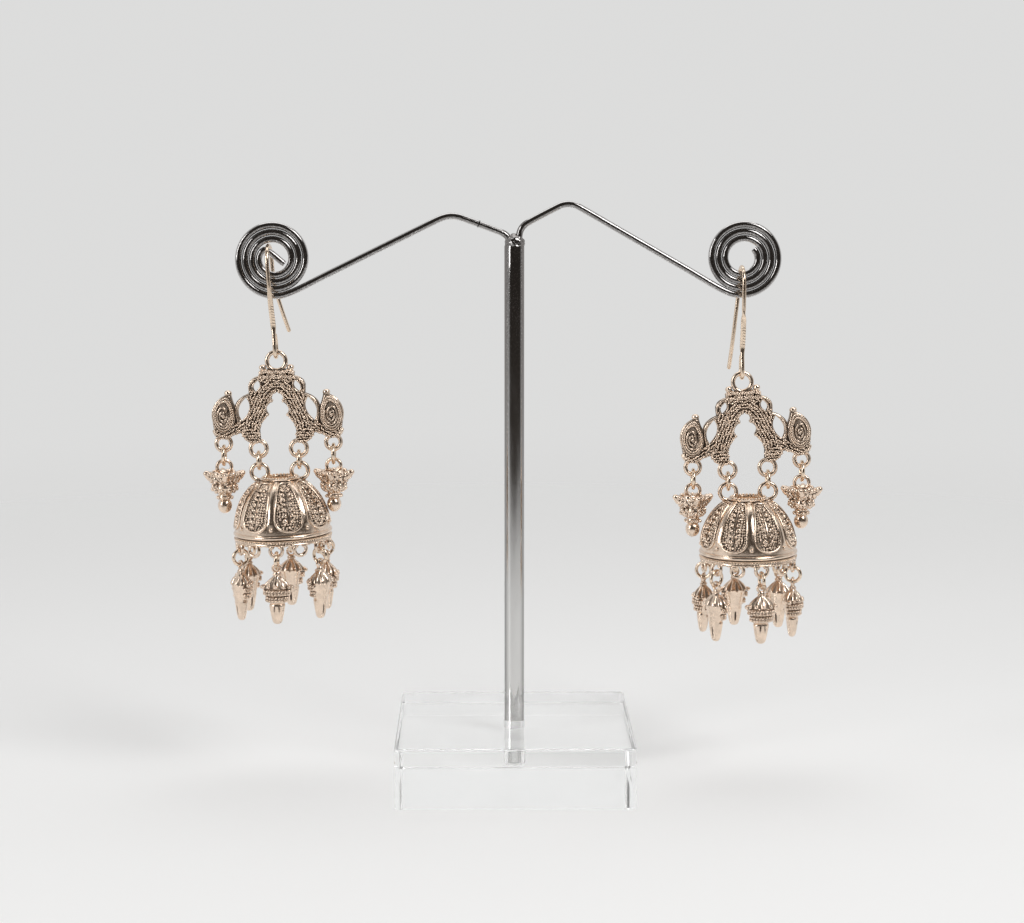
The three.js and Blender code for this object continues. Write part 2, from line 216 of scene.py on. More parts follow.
# %% Lamps
def soft_lamp(name, place, aim, size, watts):
    lamp = bpy.data.lights.new(name, "AREA")
    lamp.shape = "RECTANGLE"
    lamp.size, lamp.size_y = size
    lamp.energy = watts
    holder = in_scene(name, lamp)
    holder.location = place
    holder.rotation_euler = (Vector(aim) - Vector(place)).to_track_quat("-Z", "Y").to_euler()
    return holder


EARRING_HEIGHT = 0.07
lamps = [
    soft_lamp("key_right", (0.42, -0.42, 0.62), (0, 0, EARRING_HEIGHT), (0.36, 0.36), 2.7),
    soft_lamp("fill_left", (-0.62, -0.40, 0.30), (0, 0, EARRING_HEIGHT), (0.16, 0.45), 1.6),
    soft_lamp("top", (0.0, 0.20, 0.85), (0, 0, EARRING_HEIGHT), (0.8, 0.6), 1.75),
]
scene.view_settings.view_transform = "Standard"
print(len(lamps), "soft lamps")

# %% [markdown]
# ## Antique gold
# These castings are plated in a pale rose gold, then darkened with an oxide that is wiped off the
# high points. So one finish has three parts: metal, oxide, and a mask that says where the oxide
# stayed. The mask comes from each mesh as an attribute named recess, which we measure further on.
# Three golds use it, so it is a node group: the worked castings, the paler drops and the plain
# wire. The group only makes colours, masks and heights, and each material keeps its own shader.

# %% Antique finish group
OXIDE_FROM, OXIDE_TO = 0.31, 0.86
OXIDE_ROUGH, OXIDE_METALLIC = 0.62, 0.55
aged = bpy.data.node_groups.new("antique_finish", "ShaderNodeTree")
add_sockets(aged, "INPUT", (
    ("Recess", "Float", 0.0),
    ("Metal", "Color", (0.8, 0.6, 0.45, 1)),
    ("Oxide", "Color", (0.04, 0.025, 0.018, 1)),
    ("Oxide Kept", "Float", 1.0),
    ("Polish", "Float", 0.2),
))
add_sockets(aged, "OUTPUT", (
    ("Color", "Color"), ("Roughness", "Float"), ("Metallic", "Float"), ("Height", "Float"),
))
given = add_node(aged, "NodeGroupInput").outputs
spot = add_node(aged, "ShaderNodeTexCoord").outputs["Object"]
cloudy = add_node(
    aged, "ShaderNodeTexNoise", {"Vector": spot, "Scale": 620.0, "Detail": 3.0, "Roughness": 0.6}
).outputs[0]
pitted = add_node(
    aged, "ShaderNodeTexNoise", {"Vector": spot, "Scale": 5200.0, "Detail": 2.0}
).outputs[0]
blotch = maths(aged, "MULTIPLY", maths(aged, "SUBTRACT", cloudy, 0.5), 0.42)
worn_edge = maths(aged, "ADD", given["Recess"], blotch)
oxide_stayed = eased(aged, worn_edge, OXIDE_FROM, OXIDE_TO)
oxide_share = maths(aged, "MULTIPLY", oxide_stayed, given["Oxide Kept"])
brighter = eased(aged, cloudy, 0.3, 0.7, 0.86, 1.06)
lit_metal = add_node(
    aged, "ShaderNodeVectorMath", {0: given["Metal"], "Scale": brighter}, operation="SCALE"
).outputs[0]
aged_colour = mixed_colour(aged, oxide_share, lit_metal, given["Oxide"])
uneven_polish = maths(aged, "ADD", given["Polish"], eased(aged, pitted, 0.3, 0.7, -0.05, 0.10))
aged_out = {
    "Color": aged_colour,
    "Roughness": mixed(aged, oxide_share, uneven_polish, OXIDE_ROUGH),
    "Metallic": mixed(aged, oxide_share, 1.0, OXIDE_METALLIC),
    "Height": maths(aged, "MULTIPLY", pitted, eased(aged, cloudy, 0.2, 0.8, 0.4, 1.0)),
}
add_node(aged, "NodeGroupOutput", aged_out)
print("antique finish has", len(aged.nodes), "nodes")

# %% Three golds
OXIDE = (0.046, 0.030, 0.020, 1)
PIT_DEPTH, HAZE_DEPTH = 0.00004, 0.00003


def recess_mark(tree):
    return add_node(tree, "ShaderNodeAttribute", attribute_name="recess").outputs["Fac"]


def antique_gold(name, metal, oxide_kept, polish, grain):
    made, tree, shader = new_finish(name)
    values = {"Recess": recess_mark(tree), "Metal": metal, "Oxide": OXIDE}
    values |= {"Oxide Kept": oxide_kept, "Polish": polish}
    out = add_node(tree, "ShaderNodeGroup", values, node_tree=aged).outputs
    bump_in = {"Strength": grain, "Distance": PIT_DEPTH, "Height": out["Height"]}
    fill(tree, shader, {
        "Base Color": out["Color"],
        "Roughness": out["Roughness"],
        "Metallic": out["Metallic"],
        "Normal": add_node(tree, "ShaderNodeBump", bump_in).outputs[0],
    })
    return made


WORKED, PALE, BRIGHT = (0.88, 0.715, 0.575, 1), (0.885, 0.715, 0.575, 1), (0.90, 0.73, 0.57, 1)
worked_gold = antique_gold("worked_antique_gold", WORKED, oxide_kept=1.0, polish=0.17, grain=0.5)
drop_gold = antique_gold("pale_drop_gold", PALE, oxide_kept=0.95, polish=0.20, grain=0.4)
wire_gold = antique_gold("bright_wire_gold", BRIGHT, oxide_kept=0.8, polish=0.15, grain=0.2)
print("golds:", worked_gold.name, drop_gold.name, wire_gold.name)

# %% [markdown]
# ## Bright steel and clear acrylic
# The stand is drawn steel wire. Drawing leaves fine lines along the wire, so its roughness comes
# from a noise that is stretched along the post. Its colour is a painted reflection that follows the
# height. Low on the post, where the floor is mirrored, it has a pale core with darker edges. Higher
# up it has a dark core with painted edges, dark on the post and bright on the arms. How far each
# face turns from the view picks core or edge, and small random specks of paler steel lie in the
# dark core. The foot is polished acrylic: a clear Principled shader that lets nearly all light
# through, with a faint haze of handling marks. The same haze lies on the steel, so it is a second
# small group. Lamps shine through the clear block, so shadow rays hardly see it.

# %% Handling haze group
haze = bpy.data.node_groups.new("handling_haze", "ShaderNodeTree")
add_sockets(haze, "INPUT", (
    ("Scale", "Float", 300), ("Stretch", "Vector"), ("Lowest", "Float"), ("Highest", "Float"),
))
add_sockets(haze, "OUTPUT", (("Roughness", "Float"), ("Height", "Float")))
given = add_node(haze, "NodeGroupInput").outputs
spot = add_node(haze, "ShaderNodeTexCoord").outputs["Object"]
drawn = add_node(haze, "ShaderNodeVectorMath", {0: spot, 1: given["Stretch"]}, operation="MULTIPLY")
marks = add_node(
    haze, "ShaderNodeTexNoise", {"Vector": drawn.outputs[0], "Scale": given["Scale"], "Detail": 4.0}
).outputs[0]
rubbed = eased(haze, marks, 0.35, 0.75)
haze_out = {"Roughness": mixed(haze, rubbed, given["Lowest"], given["Highest"]), "Height": marks}
add_node(haze, "NodeGroupOutput", haze_out)


def with_haze(name, scale, stretch, lowest, highest, depth):
    made, tree, shader = new_finish(name)
    values = {"Scale": scale, "Stretch": stretch, "Lowest": lowest, "Highest": highest}
    out = add_node(tree, "ShaderNodeGroup", values, node_tree=haze).outputs
    bump_in = {"Strength": depth, "Distance": HAZE_DEPTH, "Height": out["Height"]}
    bump = add_node(tree, "ShaderNodeBump", bump_in)
    fill(tree, shader, {"Roughness": out["Roughness"], "Normal": bump.outputs[0]})
    return made, tree, shader


print("haze has", len(haze.nodes), "nodes")

# %% Drawn steel
# painted reflection: the steel is pale low on the post and dark higher up, set by height
PAINTED_DARK_FROM, PAINTED_DARK_TO = 0.035, 0.110
POST_SIDE, ARM_FROM = 0.0022, 0.0030
# painted reflection colours: a dark core and edges up high, a pale core and darker edges low down
PAINTED_DARK_CORE, PAINTED_CORE_SPECK = (0.26, 0.25, 0.245, 1), (0.52, 0.51, 0.50, 1)
POST_PAINTED_EDGE, ARM_PAINTED_EDGE = (0.22, 0.20, 0.19, 1), (0.68, 0.665, 0.655, 1)
LOW_PAINTED_CORE, LOW_PAINTED_EDGE = (0.68, 0.675, 0.665, 1), (0.34, 0.335, 0.33, 1)
SEAM_DARK = (0.03, 0.028, 0.026, 1)
steel_haze = dict(scale=500.0, stretch=(1.0, 1.0, 0.25), lowest=0.08, highest=0.16, depth=0.01)
bright_steel, tree, shader = with_haze("bright_drawn_steel", **steel_haze)
upright = add_node(tree, "ShaderNodeTexCoord").outputs["Object"]
place = add_node(tree, "ShaderNodeSeparateXYZ", {0: upright}).outputs
painted_dark_share = eased(tree, place["Z"], PAINTED_DARK_FROM, PAINTED_DARK_TO)
on_arms = eased(tree, maths(tree, "ABSOLUTE", place["X"]), POST_SIDE, ARM_FROM)
# painted dark middle and painted edges, chosen by how far each face turns from the view
facing = add_node(tree, "ShaderNodeLayerWeight", {"Blend": 0.5}).outputs["Facing"]
painted_edge_share = eased(tree, facing, 0.14, 0.62)
grain_in = {"Vector": upright, "Scale": 3600.0, "Detail": 1.0}
grain = add_node(tree, "ShaderNodeTexNoise", grain_in).outputs[0]
painted_core = mixed_colour(tree, eased(tree, grain, 0.54, 0.70), PAINTED_DARK_CORE, PAINTED_CORE_SPECK)
painted_edge_tone = mixed_colour(tree, on_arms, POST_PAINTED_EDGE, ARM_PAINTED_EDGE)
painted_high = mixed_colour(tree, painted_edge_share, painted_core, painted_edge_tone)
painted_low = mixed_colour(tree, painted_edge_share, LOW_PAINTED_CORE, LOW_PAINTED_EDGE)
painted_steel_reflection = mixed_colour(tree, painted_dark_share, painted_low, painted_high)
in_seam = eased(tree, recess_mark(tree), 0.9, 1.0)
steel_colour = mixed_colour(tree, in_seam, painted_steel_reflection, SEAM_DARK)
fill(tree, shader, {"Metallic": 1.0, "Base Color": steel_colour})
print("steel finish has", len(tree.nodes), "nodes")

# %% Clear acrylic
acrylic_haze = dict(scale=120.0, stretch=(1.0, 1.0, 1.0), lowest=0.01, highest=0.05, depth=0.02)
clear_acrylic, tree, shader = with_haze("clear_acrylic", **acrylic_haze)
rays = add_node(tree, "ShaderNodeLightPath").outputs
light_only = maths(tree, "MAXIMUM", rays["Is Shadow Ray"], rays["Is Diffuse Ray"])
fill(tree, shader, {
    "Base Color": (0.985, 0.99, 0.99, 1),
    "Transmission Weight": 0.9,
    "IOR": 1.49,
    "Alpha": eased(tree, light_only, 0.0, 1.0, 1.0, 0.03),
})
print("stand finishes:", bright_steel.name, clear_acrylic.name)

# %% [markdown]
# ## Ways to make metal parts
# Nearly everything here is one of five shapes: a turned body, a ring, a bar drawn along a path, a
# thin wire, or a granule. A turned body is a profile that spin carries round the upright axis. A
# ring is a circle that is spun. A bar is one ring of edges that is extruded along its path again
# and again. Thin wires are curves with a round bevel, made into meshes. Granules come by the
# thousand, so geometry nodes set one small ball on many points.

# %% Turned bodies and rings
UPRIGHT = Vector((0, 0, 1))
SIDEWAYS = Vector((1, 0, 0))
INTO_PICTURE = Vector((0, 1, 0))
FULL_TURN = 2 * math.pi
TOWARDS_VIEWER = Matrix.Rotation(math.pi / 2, 4, "X")


def spin_round(bm, geom, steps):
    bmesh.ops.spin(
        bm, geom=geom, cent=(0, 0, 0), axis=UPRIGHT, angle=FULL_TURN, steps=steps, use_merge=True
    )


def turned(name, rows, steps, closed=False):
    bm = bmesh.new()
    verts = [bm.verts.new((radius, 0, height)) for radius, height in rows]
    edges = [bm.edges.new(pair) for pair in zip(verts, verts[1:])]
    if closed:
        edges.append(bm.edges.new((verts[-1], verts[0])))
    spin_round(bm, verts + edges, steps)
    bmesh.ops.remove_doubles(bm, verts=bm.verts[:], dist=1e-4)
    return from_bmesh(name, bm)


def moved(part, matrix):
    part.data.transform(matrix)
    return part


def ring(name, radius, wire, facing=TOWARDS_VIEWER, steps=32, sides=10):
    bm = bmesh.new()
    start = Matrix.Translation((radius, 0, 0)) @ TOWARDS_VIEWER
    bmesh.ops.create_circle(bm, segments=sides, radius=wire / 2, matrix=start)
    spin_round(bm, bm.verts[:] + bm.edges[:], steps)
    return moved(from_bmesh(name, bm), facing)


print("turned bodies and rings ready")

# %% Bars along a path
def smooth_path(points, step):
    ends = [2 * points[0] - points[1], *points, 2 * points[-1] - points[-2]]
    path = []
    for a, b, c, d in zip(ends, ends[1:], ends[2:], ends[3:]):
        t1 = (b - a).length ** 0.5
        t2 = t1 + (c - b).length ** 0.5
        t3 = t2 + (d - c).length ** 0.5
        count = max(1, round((c - b).length / step))
        for i in range(count):
            t = t1 + (t2 - t1) * i / count
            ab = a.lerp(b, t / t1)
            bc = b.lerp(c, (t - t1) / (t2 - t1))
            cd = c.lerp(d, (t - t2) / (t3 - t2))
            abc = ab.lerp(bc, t / t2)
            bcd = bc.lerp(cd, (t - t1) / (t3 - t1))
            path.append(abc.lerp(bcd, (t - t1) / (t2 - t1)))
    path.append(points[-1])
    return path


def bar_along(name, path, across, section, sides=14):
    """A bar whose section, at each point, is two half sizes and a twist in degrees."""
    bm = bmesh.new()
    places = []
    for i, point in enumerate(path):
        ahead = (path[min(i + 1, len(path) - 1)] - path[max(i - 1, 0)]).normalized()
        wide, thick, twist = section(point)
        flat = (across - ahead * across.dot(ahead)).normalized()
        flat.rotate(Matrix.Rotation(math.radians(twist), 3, ahead))
        turn = Matrix((flat * wide, ahead.cross(flat) * thick, ahead)).transposed()
        places.append(Matrix.Translation(point) @ turn.to_4x4())
    bmesh.ops.create_circle(bm, segments=sides, radius=1.0, matrix=places[0])
    edges = bm.edges[:]
    bmesh.ops.contextual_create(bm, geom=edges)
    for before, after in zip(places, places[1:]):
        made = bmesh.ops.extrude_edge_only(bm, edges=edges)["geom"]
        fresh = {item for item in made if isinstance(item, bmesh.types.BMVert)}
        edges = [e for e in made if isinstance(e, bmesh.types.BMEdge) and set(e.verts) <= fresh]
        bmesh.ops.transform(bm, matrix=after @ before.inverted(), verts=list(fresh))
    bmesh.ops.contextual_create(bm, geom=edges)
    return from_bmesh(name, bm)


print("bars ready")

# %% Thin wires
def baked(name, holder):
    seen_now = bpy.context.evaluated_depsgraph_get()
    mesh = bpy.data.meshes.new_from_object(holder.evaluated_get(seen_now))
    source = holder.data
    bpy.data.objects.remove(holder)
    (bpy.data.curves if isinstance(source, bpy.types.Curve) else bpy.data.meshes).remove(source)
    bm = bmesh.new()
    bm.from_mesh(mesh)
    bpy.data.meshes.remove(mesh)
    bmesh.ops.remove_doubles(bm, verts=bm.verts[:], dist=1e-5)
    return from_bmesh(name, bm)


def wires(name, paths, wire, closed=False, sides=8):
    curve = bpy.data.curves.new(name, "CURVE")
    curve.dimensions = "3D"
    curve.bevel_depth = wire / 2
    curve.bevel_resolution = (sides - 4) // 2
    curve.use_fill_caps = True
    for path in paths:
        spline = curve.splines.new("POLY")
        spline.points.add(len(path) - 1)
        spline.points.foreach_set("co", [v for point in path for v in (*point, 1.0)])
        spline.use_cyclic_u = closed
    return baked(name, in_scene(name, curve))


print("wires ready")

# %% Granules
GRANULE_SEGMENTS, GRANULE_RINGS = 8, 5


def granule_nodes():
    tree = bpy.data.node_groups.new("granules", "GeometryNodeTree")
    add_sockets(tree, "INPUT", [("Points", "Geometry")])
    add_sockets(tree, "OUTPUT", [("Granules", "Geometry")])
    points = add_node(tree, "NodeGroupInput").outputs[0]
    ball_in = {"Segments": GRANULE_SEGMENTS, "Rings": GRANULE_RINGS}
    ball = add_node(tree, "GeometryNodeMeshUVSphere", ball_in).outputs[0]
    turn, size = (
        add_node(
            tree, "GeometryNodeInputNamedAttribute", {"Name": name}, data_type="FLOAT_VECTOR"
        ).outputs[0]
        for name in ("turn", "size")
    )
    spread_in = {"Points": points, "Instance": ball, "Rotation": turn, "Scale": size}
    spread = add_node(tree, "GeometryNodeInstanceOnPoints", spread_in)
    solid = add_node(tree, "GeometryNodeRealizeInstances", {0: spread.outputs[0]})
    add_node(tree, "NodeGroupOutput", {0: solid.outputs[0]})
    return tree


GRANULE_TREE = granule_nodes()


def granules(name, places):
    """Each place is a point, the way the granule lies, the way up, and its three half sizes."""
    bm = bmesh.new()
    turns, sizes = [], []
    for point, along, up, size in places:
        bm.verts.new(point)
        flat = (along - up * along.dot(up)).normalized()
        turns.extend(Matrix((flat, up.cross(flat), up)).transposed().to_euler())
        sizes.extend(size)
    mesh = bpy.data.meshes.new(name)
    bm.to_mesh(mesh)
    bm.free()
    mesh.attributes.new("turn", "FLOAT_VECTOR", "POINT").data.foreach_set("vector", turns)
    mesh.attributes.new("size", "FLOAT_VECTOR", "POINT").data.foreach_set("vector", sizes)
    holder = in_scene(name, mesh)
    holder.modifiers.new("granules", "NODES").node_group = GRANULE_TREE
    made = baked(name, holder)
    for spent in ("turn", "size"):
        if spent in made.data.attributes:
            made.data.attributes.remove(made.data.attributes[spent])
    return made


print("a granule has", GRANULE_SEGMENTS * GRANULE_RINGS, "faces")

# %% [markdown]
# ## Joining a casting and finding its recesses
# A casting is one piece of metal, so its parts are joined into one mesh. Then we look out from
# every vertex in a set of directions: where most looks soon hit other metal, the vertex lies in a
# recess. That share is stored as the attribute recess, which the antique finish reads. A part that
# is a dark ground under the granules can say so itself.

# %% Join and measure recesses
LOOK_COUNT = 14
LOOKS = []
for i in range(LOOK_COUNT):
    height = (i + 0.5) / LOOK_COUNT
    swing = i * math.pi * (3 - math.sqrt(5))
    reach = math.sqrt(1 - height * height)
    LOOKS.append(Vector((reach * math.cos(swing), reach * math.sin(swing), height)))


def set_ground(part, values):
    """Says how dark each vertex is at least: one number for all, or one for each."""
    if isinstance(values, float):
        values = [values] * len(part.data.vertices)
    part.data.attributes.new("ground", "FLOAT", "POINT").data.foreach_set("value", values)
    return part


def hidden_share(tree, vertex, reach):
    start = vertex.co + vertex.normal * 0.01
    hidden = total = 0.0
    for look in LOOKS:
        facing = look.dot(vertex.normal)
        hit = tree.ray_cast(start, look if facing > 0 else -look, reach)[3]
        total += abs(facing)
        if hit is not None:
            hidden += abs(facing) * (1 - 0.6 * hit / reach)
    return hidden / total


def casting(name, parts, reach=1.3, sharp=50):
    with bpy.context.temp_override(active_object=parts[0], selected_editable_objects=parts):
        bpy.ops.object.join()
    mesh = parts[0].data
    bpy.data.objects.remove(parts[0])
    mesh.name = name
    bm = bmesh.new()
    bm.from_mesh(mesh)
    tree = BVHTree.FromBMesh(bm)
    bm.verts.ensure_lookup_table()
    shares = np.array([hidden_share(tree, v, reach) for v in bm.verts])
    bm.free()
    if "ground" in mesh.attributes:
        ground = np.zeros(len(mesh.vertices), np.float32)
        mesh.attributes["ground"].data.foreach_get("value", ground)
        shares = np.maximum(shares, ground)
        mesh.attributes.remove(mesh.attributes["ground"])
    recess = mesh.attributes.new("recess", "FLOAT", "POINT")
    recess.data.foreach_set("value", shares.astype(np.float32))
    mesh.shade_smooth()
    mesh.set_sharp_from_angle(angle=math.radians(sharp))
    mesh.calc_loop_triangles()
    print(name, len(mesh.loop_triangles), "triangles, mean recess", round(float(shares.mean()), 2))
    return mesh


def set_piece(name, mesh, where, body, node, finish):
    data = mesh.copy()
    data.name = name
    data.transform(Matrix.Scale(MM, 4) @ where)
    data.materials.clear()
    data.materials.append(finish)
    piece = in_scene(name, data)
    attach(piece, body)
    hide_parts(node)
    return piece


print("ready to join castings")

# %% [markdown]
# ## The clear foot
# The foot is a square block of cast acrylic with eased edges and a blind bore for the post. A cube
# with bevelled edges gives the block, first its uprights and then all the rest, and a turned plug
# cut away by a Boolean modifier gives the bore. Both walls are needed, because light bends at each.

# %% Foot
FOOT_SIDE, FOOT_HEIGHT = 50.0, 12.9
BORE_RADIUS, BORE_DEPTH = 2.3, 7.5


def bevel_edges(bm, edges, offset, segments):
    bmesh.ops.bevel(
        bm, geom=edges, offset=offset, segments=segments, profile=0.5, affect="EDGES", material=-1
    )


def edge_rise(edge):
    return abs(edge.verts[0].co.z - edge.verts[1].co.z)


bm = bmesh.new()
bmesh.ops.create_cube(bm, size=1.0)
bmesh.ops.scale(bm, verts=bm.verts[:], vec=(FOOT_SIDE, FOOT_SIDE, FOOT_HEIGHT))
bmesh.ops.translate(bm, verts=bm.verts[:], vec=(0, 0, FOOT_HEIGHT / 2))
bevel_edges(bm, [e for e in bm.edges if edge_rise(e) > 1], 1.2, 5)
rims = [e for e in bm.edges if edge_rise(e) < 0.01 and e.calc_face_angle() > 0.5]
bevel_edges(bm, rims, 0.45, 3)
foot = from_bmesh("foot_block", bm)
plug_low = FOOT_HEIGHT - BORE_DEPTH
plug_rows = [
    (0, plug_low),
    (BORE_RADIUS - 0.3, plug_low),
    (BORE_RADIUS, plug_low + 0.3),
    (BORE_RADIUS, FOOT_HEIGHT + 2),
    (0, FOOT_HEIGHT + 2),
]
plug = turned("bore_plug", plug_rows, 64)
cut = foot.modifiers.new("bore", "BOOLEAN")
cut.operation = "DIFFERENCE"
cut.solver = "EXACT"
cut.object = plug
cut_block = baked("foot_block", foot)
bpy.data.objects.remove(plug)
foot_mesh = cut_block.data
bpy.data.objects.remove(cut_block)
foot_mesh.shade_smooth()
foot_mesh.set_sharp_from_angle(angle=math.radians(8))
set_piece("clear_foot", foot_mesh, Matrix(), "stand", "stand_foot", clear_acrylic)
print("foot has", len(foot_mesh.polygons), "faces")

# %% [markdown]
# ## The wire stand
# One thick rod is the post. Two thinner wires are welded to its top, bent over a peak and wound
# into flat spirals. Each arm lies in one upright plane, so a bar along a path can keep one edge
# towards the viewer, and the spiral is just a path whose radius shrinks as it turns. The weld is a
# ball pushed about by noise, which hides where the arms enter the post. One arm has a small butt
# joint, shown by a thin dark ring sunk in the wire.

# %% Arm paths
ARM_WIRE, SPIRAL_PITCH, SPIRAL_RADIUS = 1.4, 1.45, 7.75
ROOT_Z = 112.4
LEFT_ARM = dict(
    side=-1, root=-0.75, elbow=(-0.95, 116.8), peak=(-13.4, 121.4), pole=(-50.44, 111.97),
    slope=25.3, turns=3.3, ends=((-1.9, 1.87), (2.3, -1.07)),
)
RIGHT_ARM = dict(
    side=1, root=0.75, elbow=(1.15, 118.6), peak=(11.4, 124.0), pole=(48.03, 112.1),
    slope=30.5, turns=3.4, ends=(),
)


def flat_point(pair):
    return Vector((pair[0], 0, pair[1]))


def rounded_corner(before, corner, after, reach, count=6):
    start = corner - (corner - before).normalized() * reach
    end = corner + (after - corner).normalized() * reach
    shares = [i / count for i in range(count + 1)]
    return [start.lerp(corner, t).lerp(corner.lerp(end, t), t) for t in shares]


def arm_path(row):
    pole = flat_point(row["pole"])
    spiral = []
    turn = -row["slope"] / 360
    while turn <= row["turns"]:
        radius = SPIRAL_RADIUS - SPIRAL_PITCH * turn
        angle = FULL_TURN * turn
        aim = Vector((row["side"] * math.sin(angle), 0, -math.cos(angle)))
        spiral.append(pole + aim * radius)
        turn += 1 / 20
    spiral += [pole + flat_point(end) for end in row["ends"]]
    corners = ((row["root"], ROOT_Z), row["elbow"], row["peak"])
    root, elbow, peak = (flat_point(corner) for corner in corners)
    points = [root]
    points += rounded_corner(root, elbow, peak, 1.9)
    points += rounded_corner(elbow, peak, spiral[0], 2.6)
    points += [points[-1].lerp(spiral[0], t) for t in (0.25, 0.5, 0.75)]
    return smooth_path(points + spiral, 0.55)


arm_paths = {"left": arm_path(LEFT_ARM), "right": arm_path(RIGHT_ARM)}
print({side: len(path) for side, path in arm_paths.items()}, "points along the arms")

# %% Post, arms and weld
POST_RADIUS, POST_TOP, POST_LOW = 2.1, 115.4, 5.7
POST_EASE, POST_SHOULDER, POST_BANDS = 0.3, 0.9, 24
BUTT_JOINT_X = -7.2


def arm_section(path):
    def section(point):
        half = ARM_WIRE / 2
        end_gap = (path[-1] - point).length
        if end_gap < 0.3:
            half *= 0.86 + 0.14 * end_gap / 0.3
        return half, half, 0.0
    return section


arms = [bar_along("arm", p, INTO_PICTURE, arm_section(p), sides=16) for p in arm_paths.values()]
straight_low = POST_LOW + POST_EASE
band = (POST_TOP - POST_SHOULDER - straight_low) / POST_BANDS
post_rows = [(0, POST_LOW), (POST_RADIUS - POST_EASE, POST_LOW)]
post_rows += [(POST_RADIUS, straight_low + i * band) for i in range(POST_BANDS + 1)]
post_rows += [(POST_RADIUS - 0.12, POST_TOP - 0.45), (POST_RADIUS - 0.45, POST_TOP - 0.12)]
post_rows += [(POST_RADIUS - 0.9, POST_TOP), (0, POST_TOP)]
post = turned("post", post_rows, 48)
WELD_HALF, WELD_MIDDLE = (2.05, 2.05, 2.0), (0.1, 0, 115.2)
bm = bmesh.new()
bmesh.ops.create_icosphere(bm, subdivisions=5, radius=1.0)
for vert in bm.verts:
    lump = noise.noise(vert.co * 2.2) * 0.10 + noise.noise(vert.co * 7.0) * 0.05
    vert.co *= 1 + lump + noise.noise(vert.co * 17.0) * 0.03
bmesh.ops.scale(bm, verts=bm.verts[:], vec=WELD_HALF)
bmesh.ops.translate(bm, verts=bm.verts[:], vec=WELD_MIDDLE)
weld = from_bmesh("weld", bm)
joint_at = min(arm_paths["left"][:60], key=lambda p: abs(p.x - BUTT_JOINT_X))
seam = ring("butt_seam", ARM_WIRE / 2 - 0.08, 0.34, Matrix(), 24, 6)
arm_lean = flat_point(LEFT_ARM["peak"]) - flat_point(LEFT_ARM["elbow"])
seam_turn = UPRIGHT.rotation_difference(arm_lean).to_matrix().to_4x4()
set_ground(moved(seam, Matrix.Translation(joint_at) @ seam_turn), 1.0)
stand_mesh = casting("wire_stand", [post, *arms, weld, seam], reach=1.0, sharp=40)
set_piece("wire_stand", stand_mesh, Matrix(), "stand", "stand_frame", bright_steel)

# %% [markdown]
# ## Ear hooks
# Each hook is one round wire: a closed eye at the bottom, a shank that is hammered flat in the
# middle, a bow over the top and a straight tail behind. It is a bar along a path again, and this
# time its two half sizes change on the way: wider and thinner where it was hammered, with a few
# plain cross grooves, and slimmer at the tail's rounded end.

# %% Hook shape
HOOK_WIRE, HOOK_BOW = 0.86, 3.4
GROOVES_FROM, GROOVES_TO, GROOVE_STEP = 12.4, 16.6, 0.6


def hook_path(tail, tail_bend):
    rows = [
        (0.36, -18.5), (1.0, -19.9), (1.25, -21.25), (0.94, -22.95), (0, -23.45), (-0.94, -22.95),
        (-1.25, -21.25), (-1.06, -19.2), (-0.3 * HOOK_BOW, -17.0), (-0.66 * HOOK_BOW, -13),
        (-0.93 * HOOK_BOW, -7.5),
    ]
    for i in range(11):
        angle = math.pi * (1 - i / 10)
        rows.append((HOOK_BOW * math.cos(angle), HOOK_BOW * (math.sin(angle) - 1)))
    points = [Vector((0, y, z)) for y, z in rows]
    tail_rows = ((0.3, 0.45), (1.0, 0.75), (2.2, 1.0))
    for bent, (back, share) in zip(tail_bend, tail_rows):
        points.append(Vector((bent, HOOK_BOW + back, -share * tail)))
    return smooth_path(points, 0.13)


def smooth_step(value, low, high):
    t = min(1.0, max(0.0, (value - low) / (high - low)))
    return t * t * (3 - 2 * t)


def groove_at(point):
    if point.y > 0 or not GROOVES_FROM < -point.z < GROOVES_TO:
        return 0.0
    wave = math.sin((point.z + 0.5 * point.x) * FULL_TURN / GROOVE_STEP)
    return max(0.0, wave) ** 2 * smooth_step(point.x, -0.6, 0.1)


def hook_section(path, twist):
    def section(point):
        half = HOOK_WIRE / 2
        flat = turn = 0.0
        if point.y < 0:
            flat = smooth_step(-point.z, 8.0, 11.5) * (1 - smooth_step(-point.z, GROOVES_TO, 18.6))
            turn = twist * smooth_step(-point.z, 7.4, 11.6)
        end_gap = min((path[-1] - point).length, (path[0] - point).length)
        blunt = math.sqrt(max(0.12, 1 - (1 - min(1.0, end_gap / half)) ** 2))
        thin = (1 - 0.42 * flat) * (1 - 0.3 * groove_at(point))
        return half * (1 + 0.32 * flat) * blunt, half * thin * blunt, turn
    return section


print("hook path ready")

# %% [markdown]
# ## Placing the pair
# The two earrings are the same castings, hung at slightly different angles. We chain matrices in
# the order in which things hang: the hook on the stand, the arch in the hook, the side drops and
# the bell on the arch, and the rim drops on the bell. A positive lean turns a piece anticlockwise
# as seen from the front, which is a negative turn about the axis that points away.

# %% Hanging matrices
def shift(x, y, z):
    return Matrix.Translation((x, y, z))


def lean(degrees):
    return Matrix.Rotation(math.radians(-degrees), 4, "Y")


def spun(degrees):
    return Matrix.Rotation(math.radians(degrees), 4, "Z")


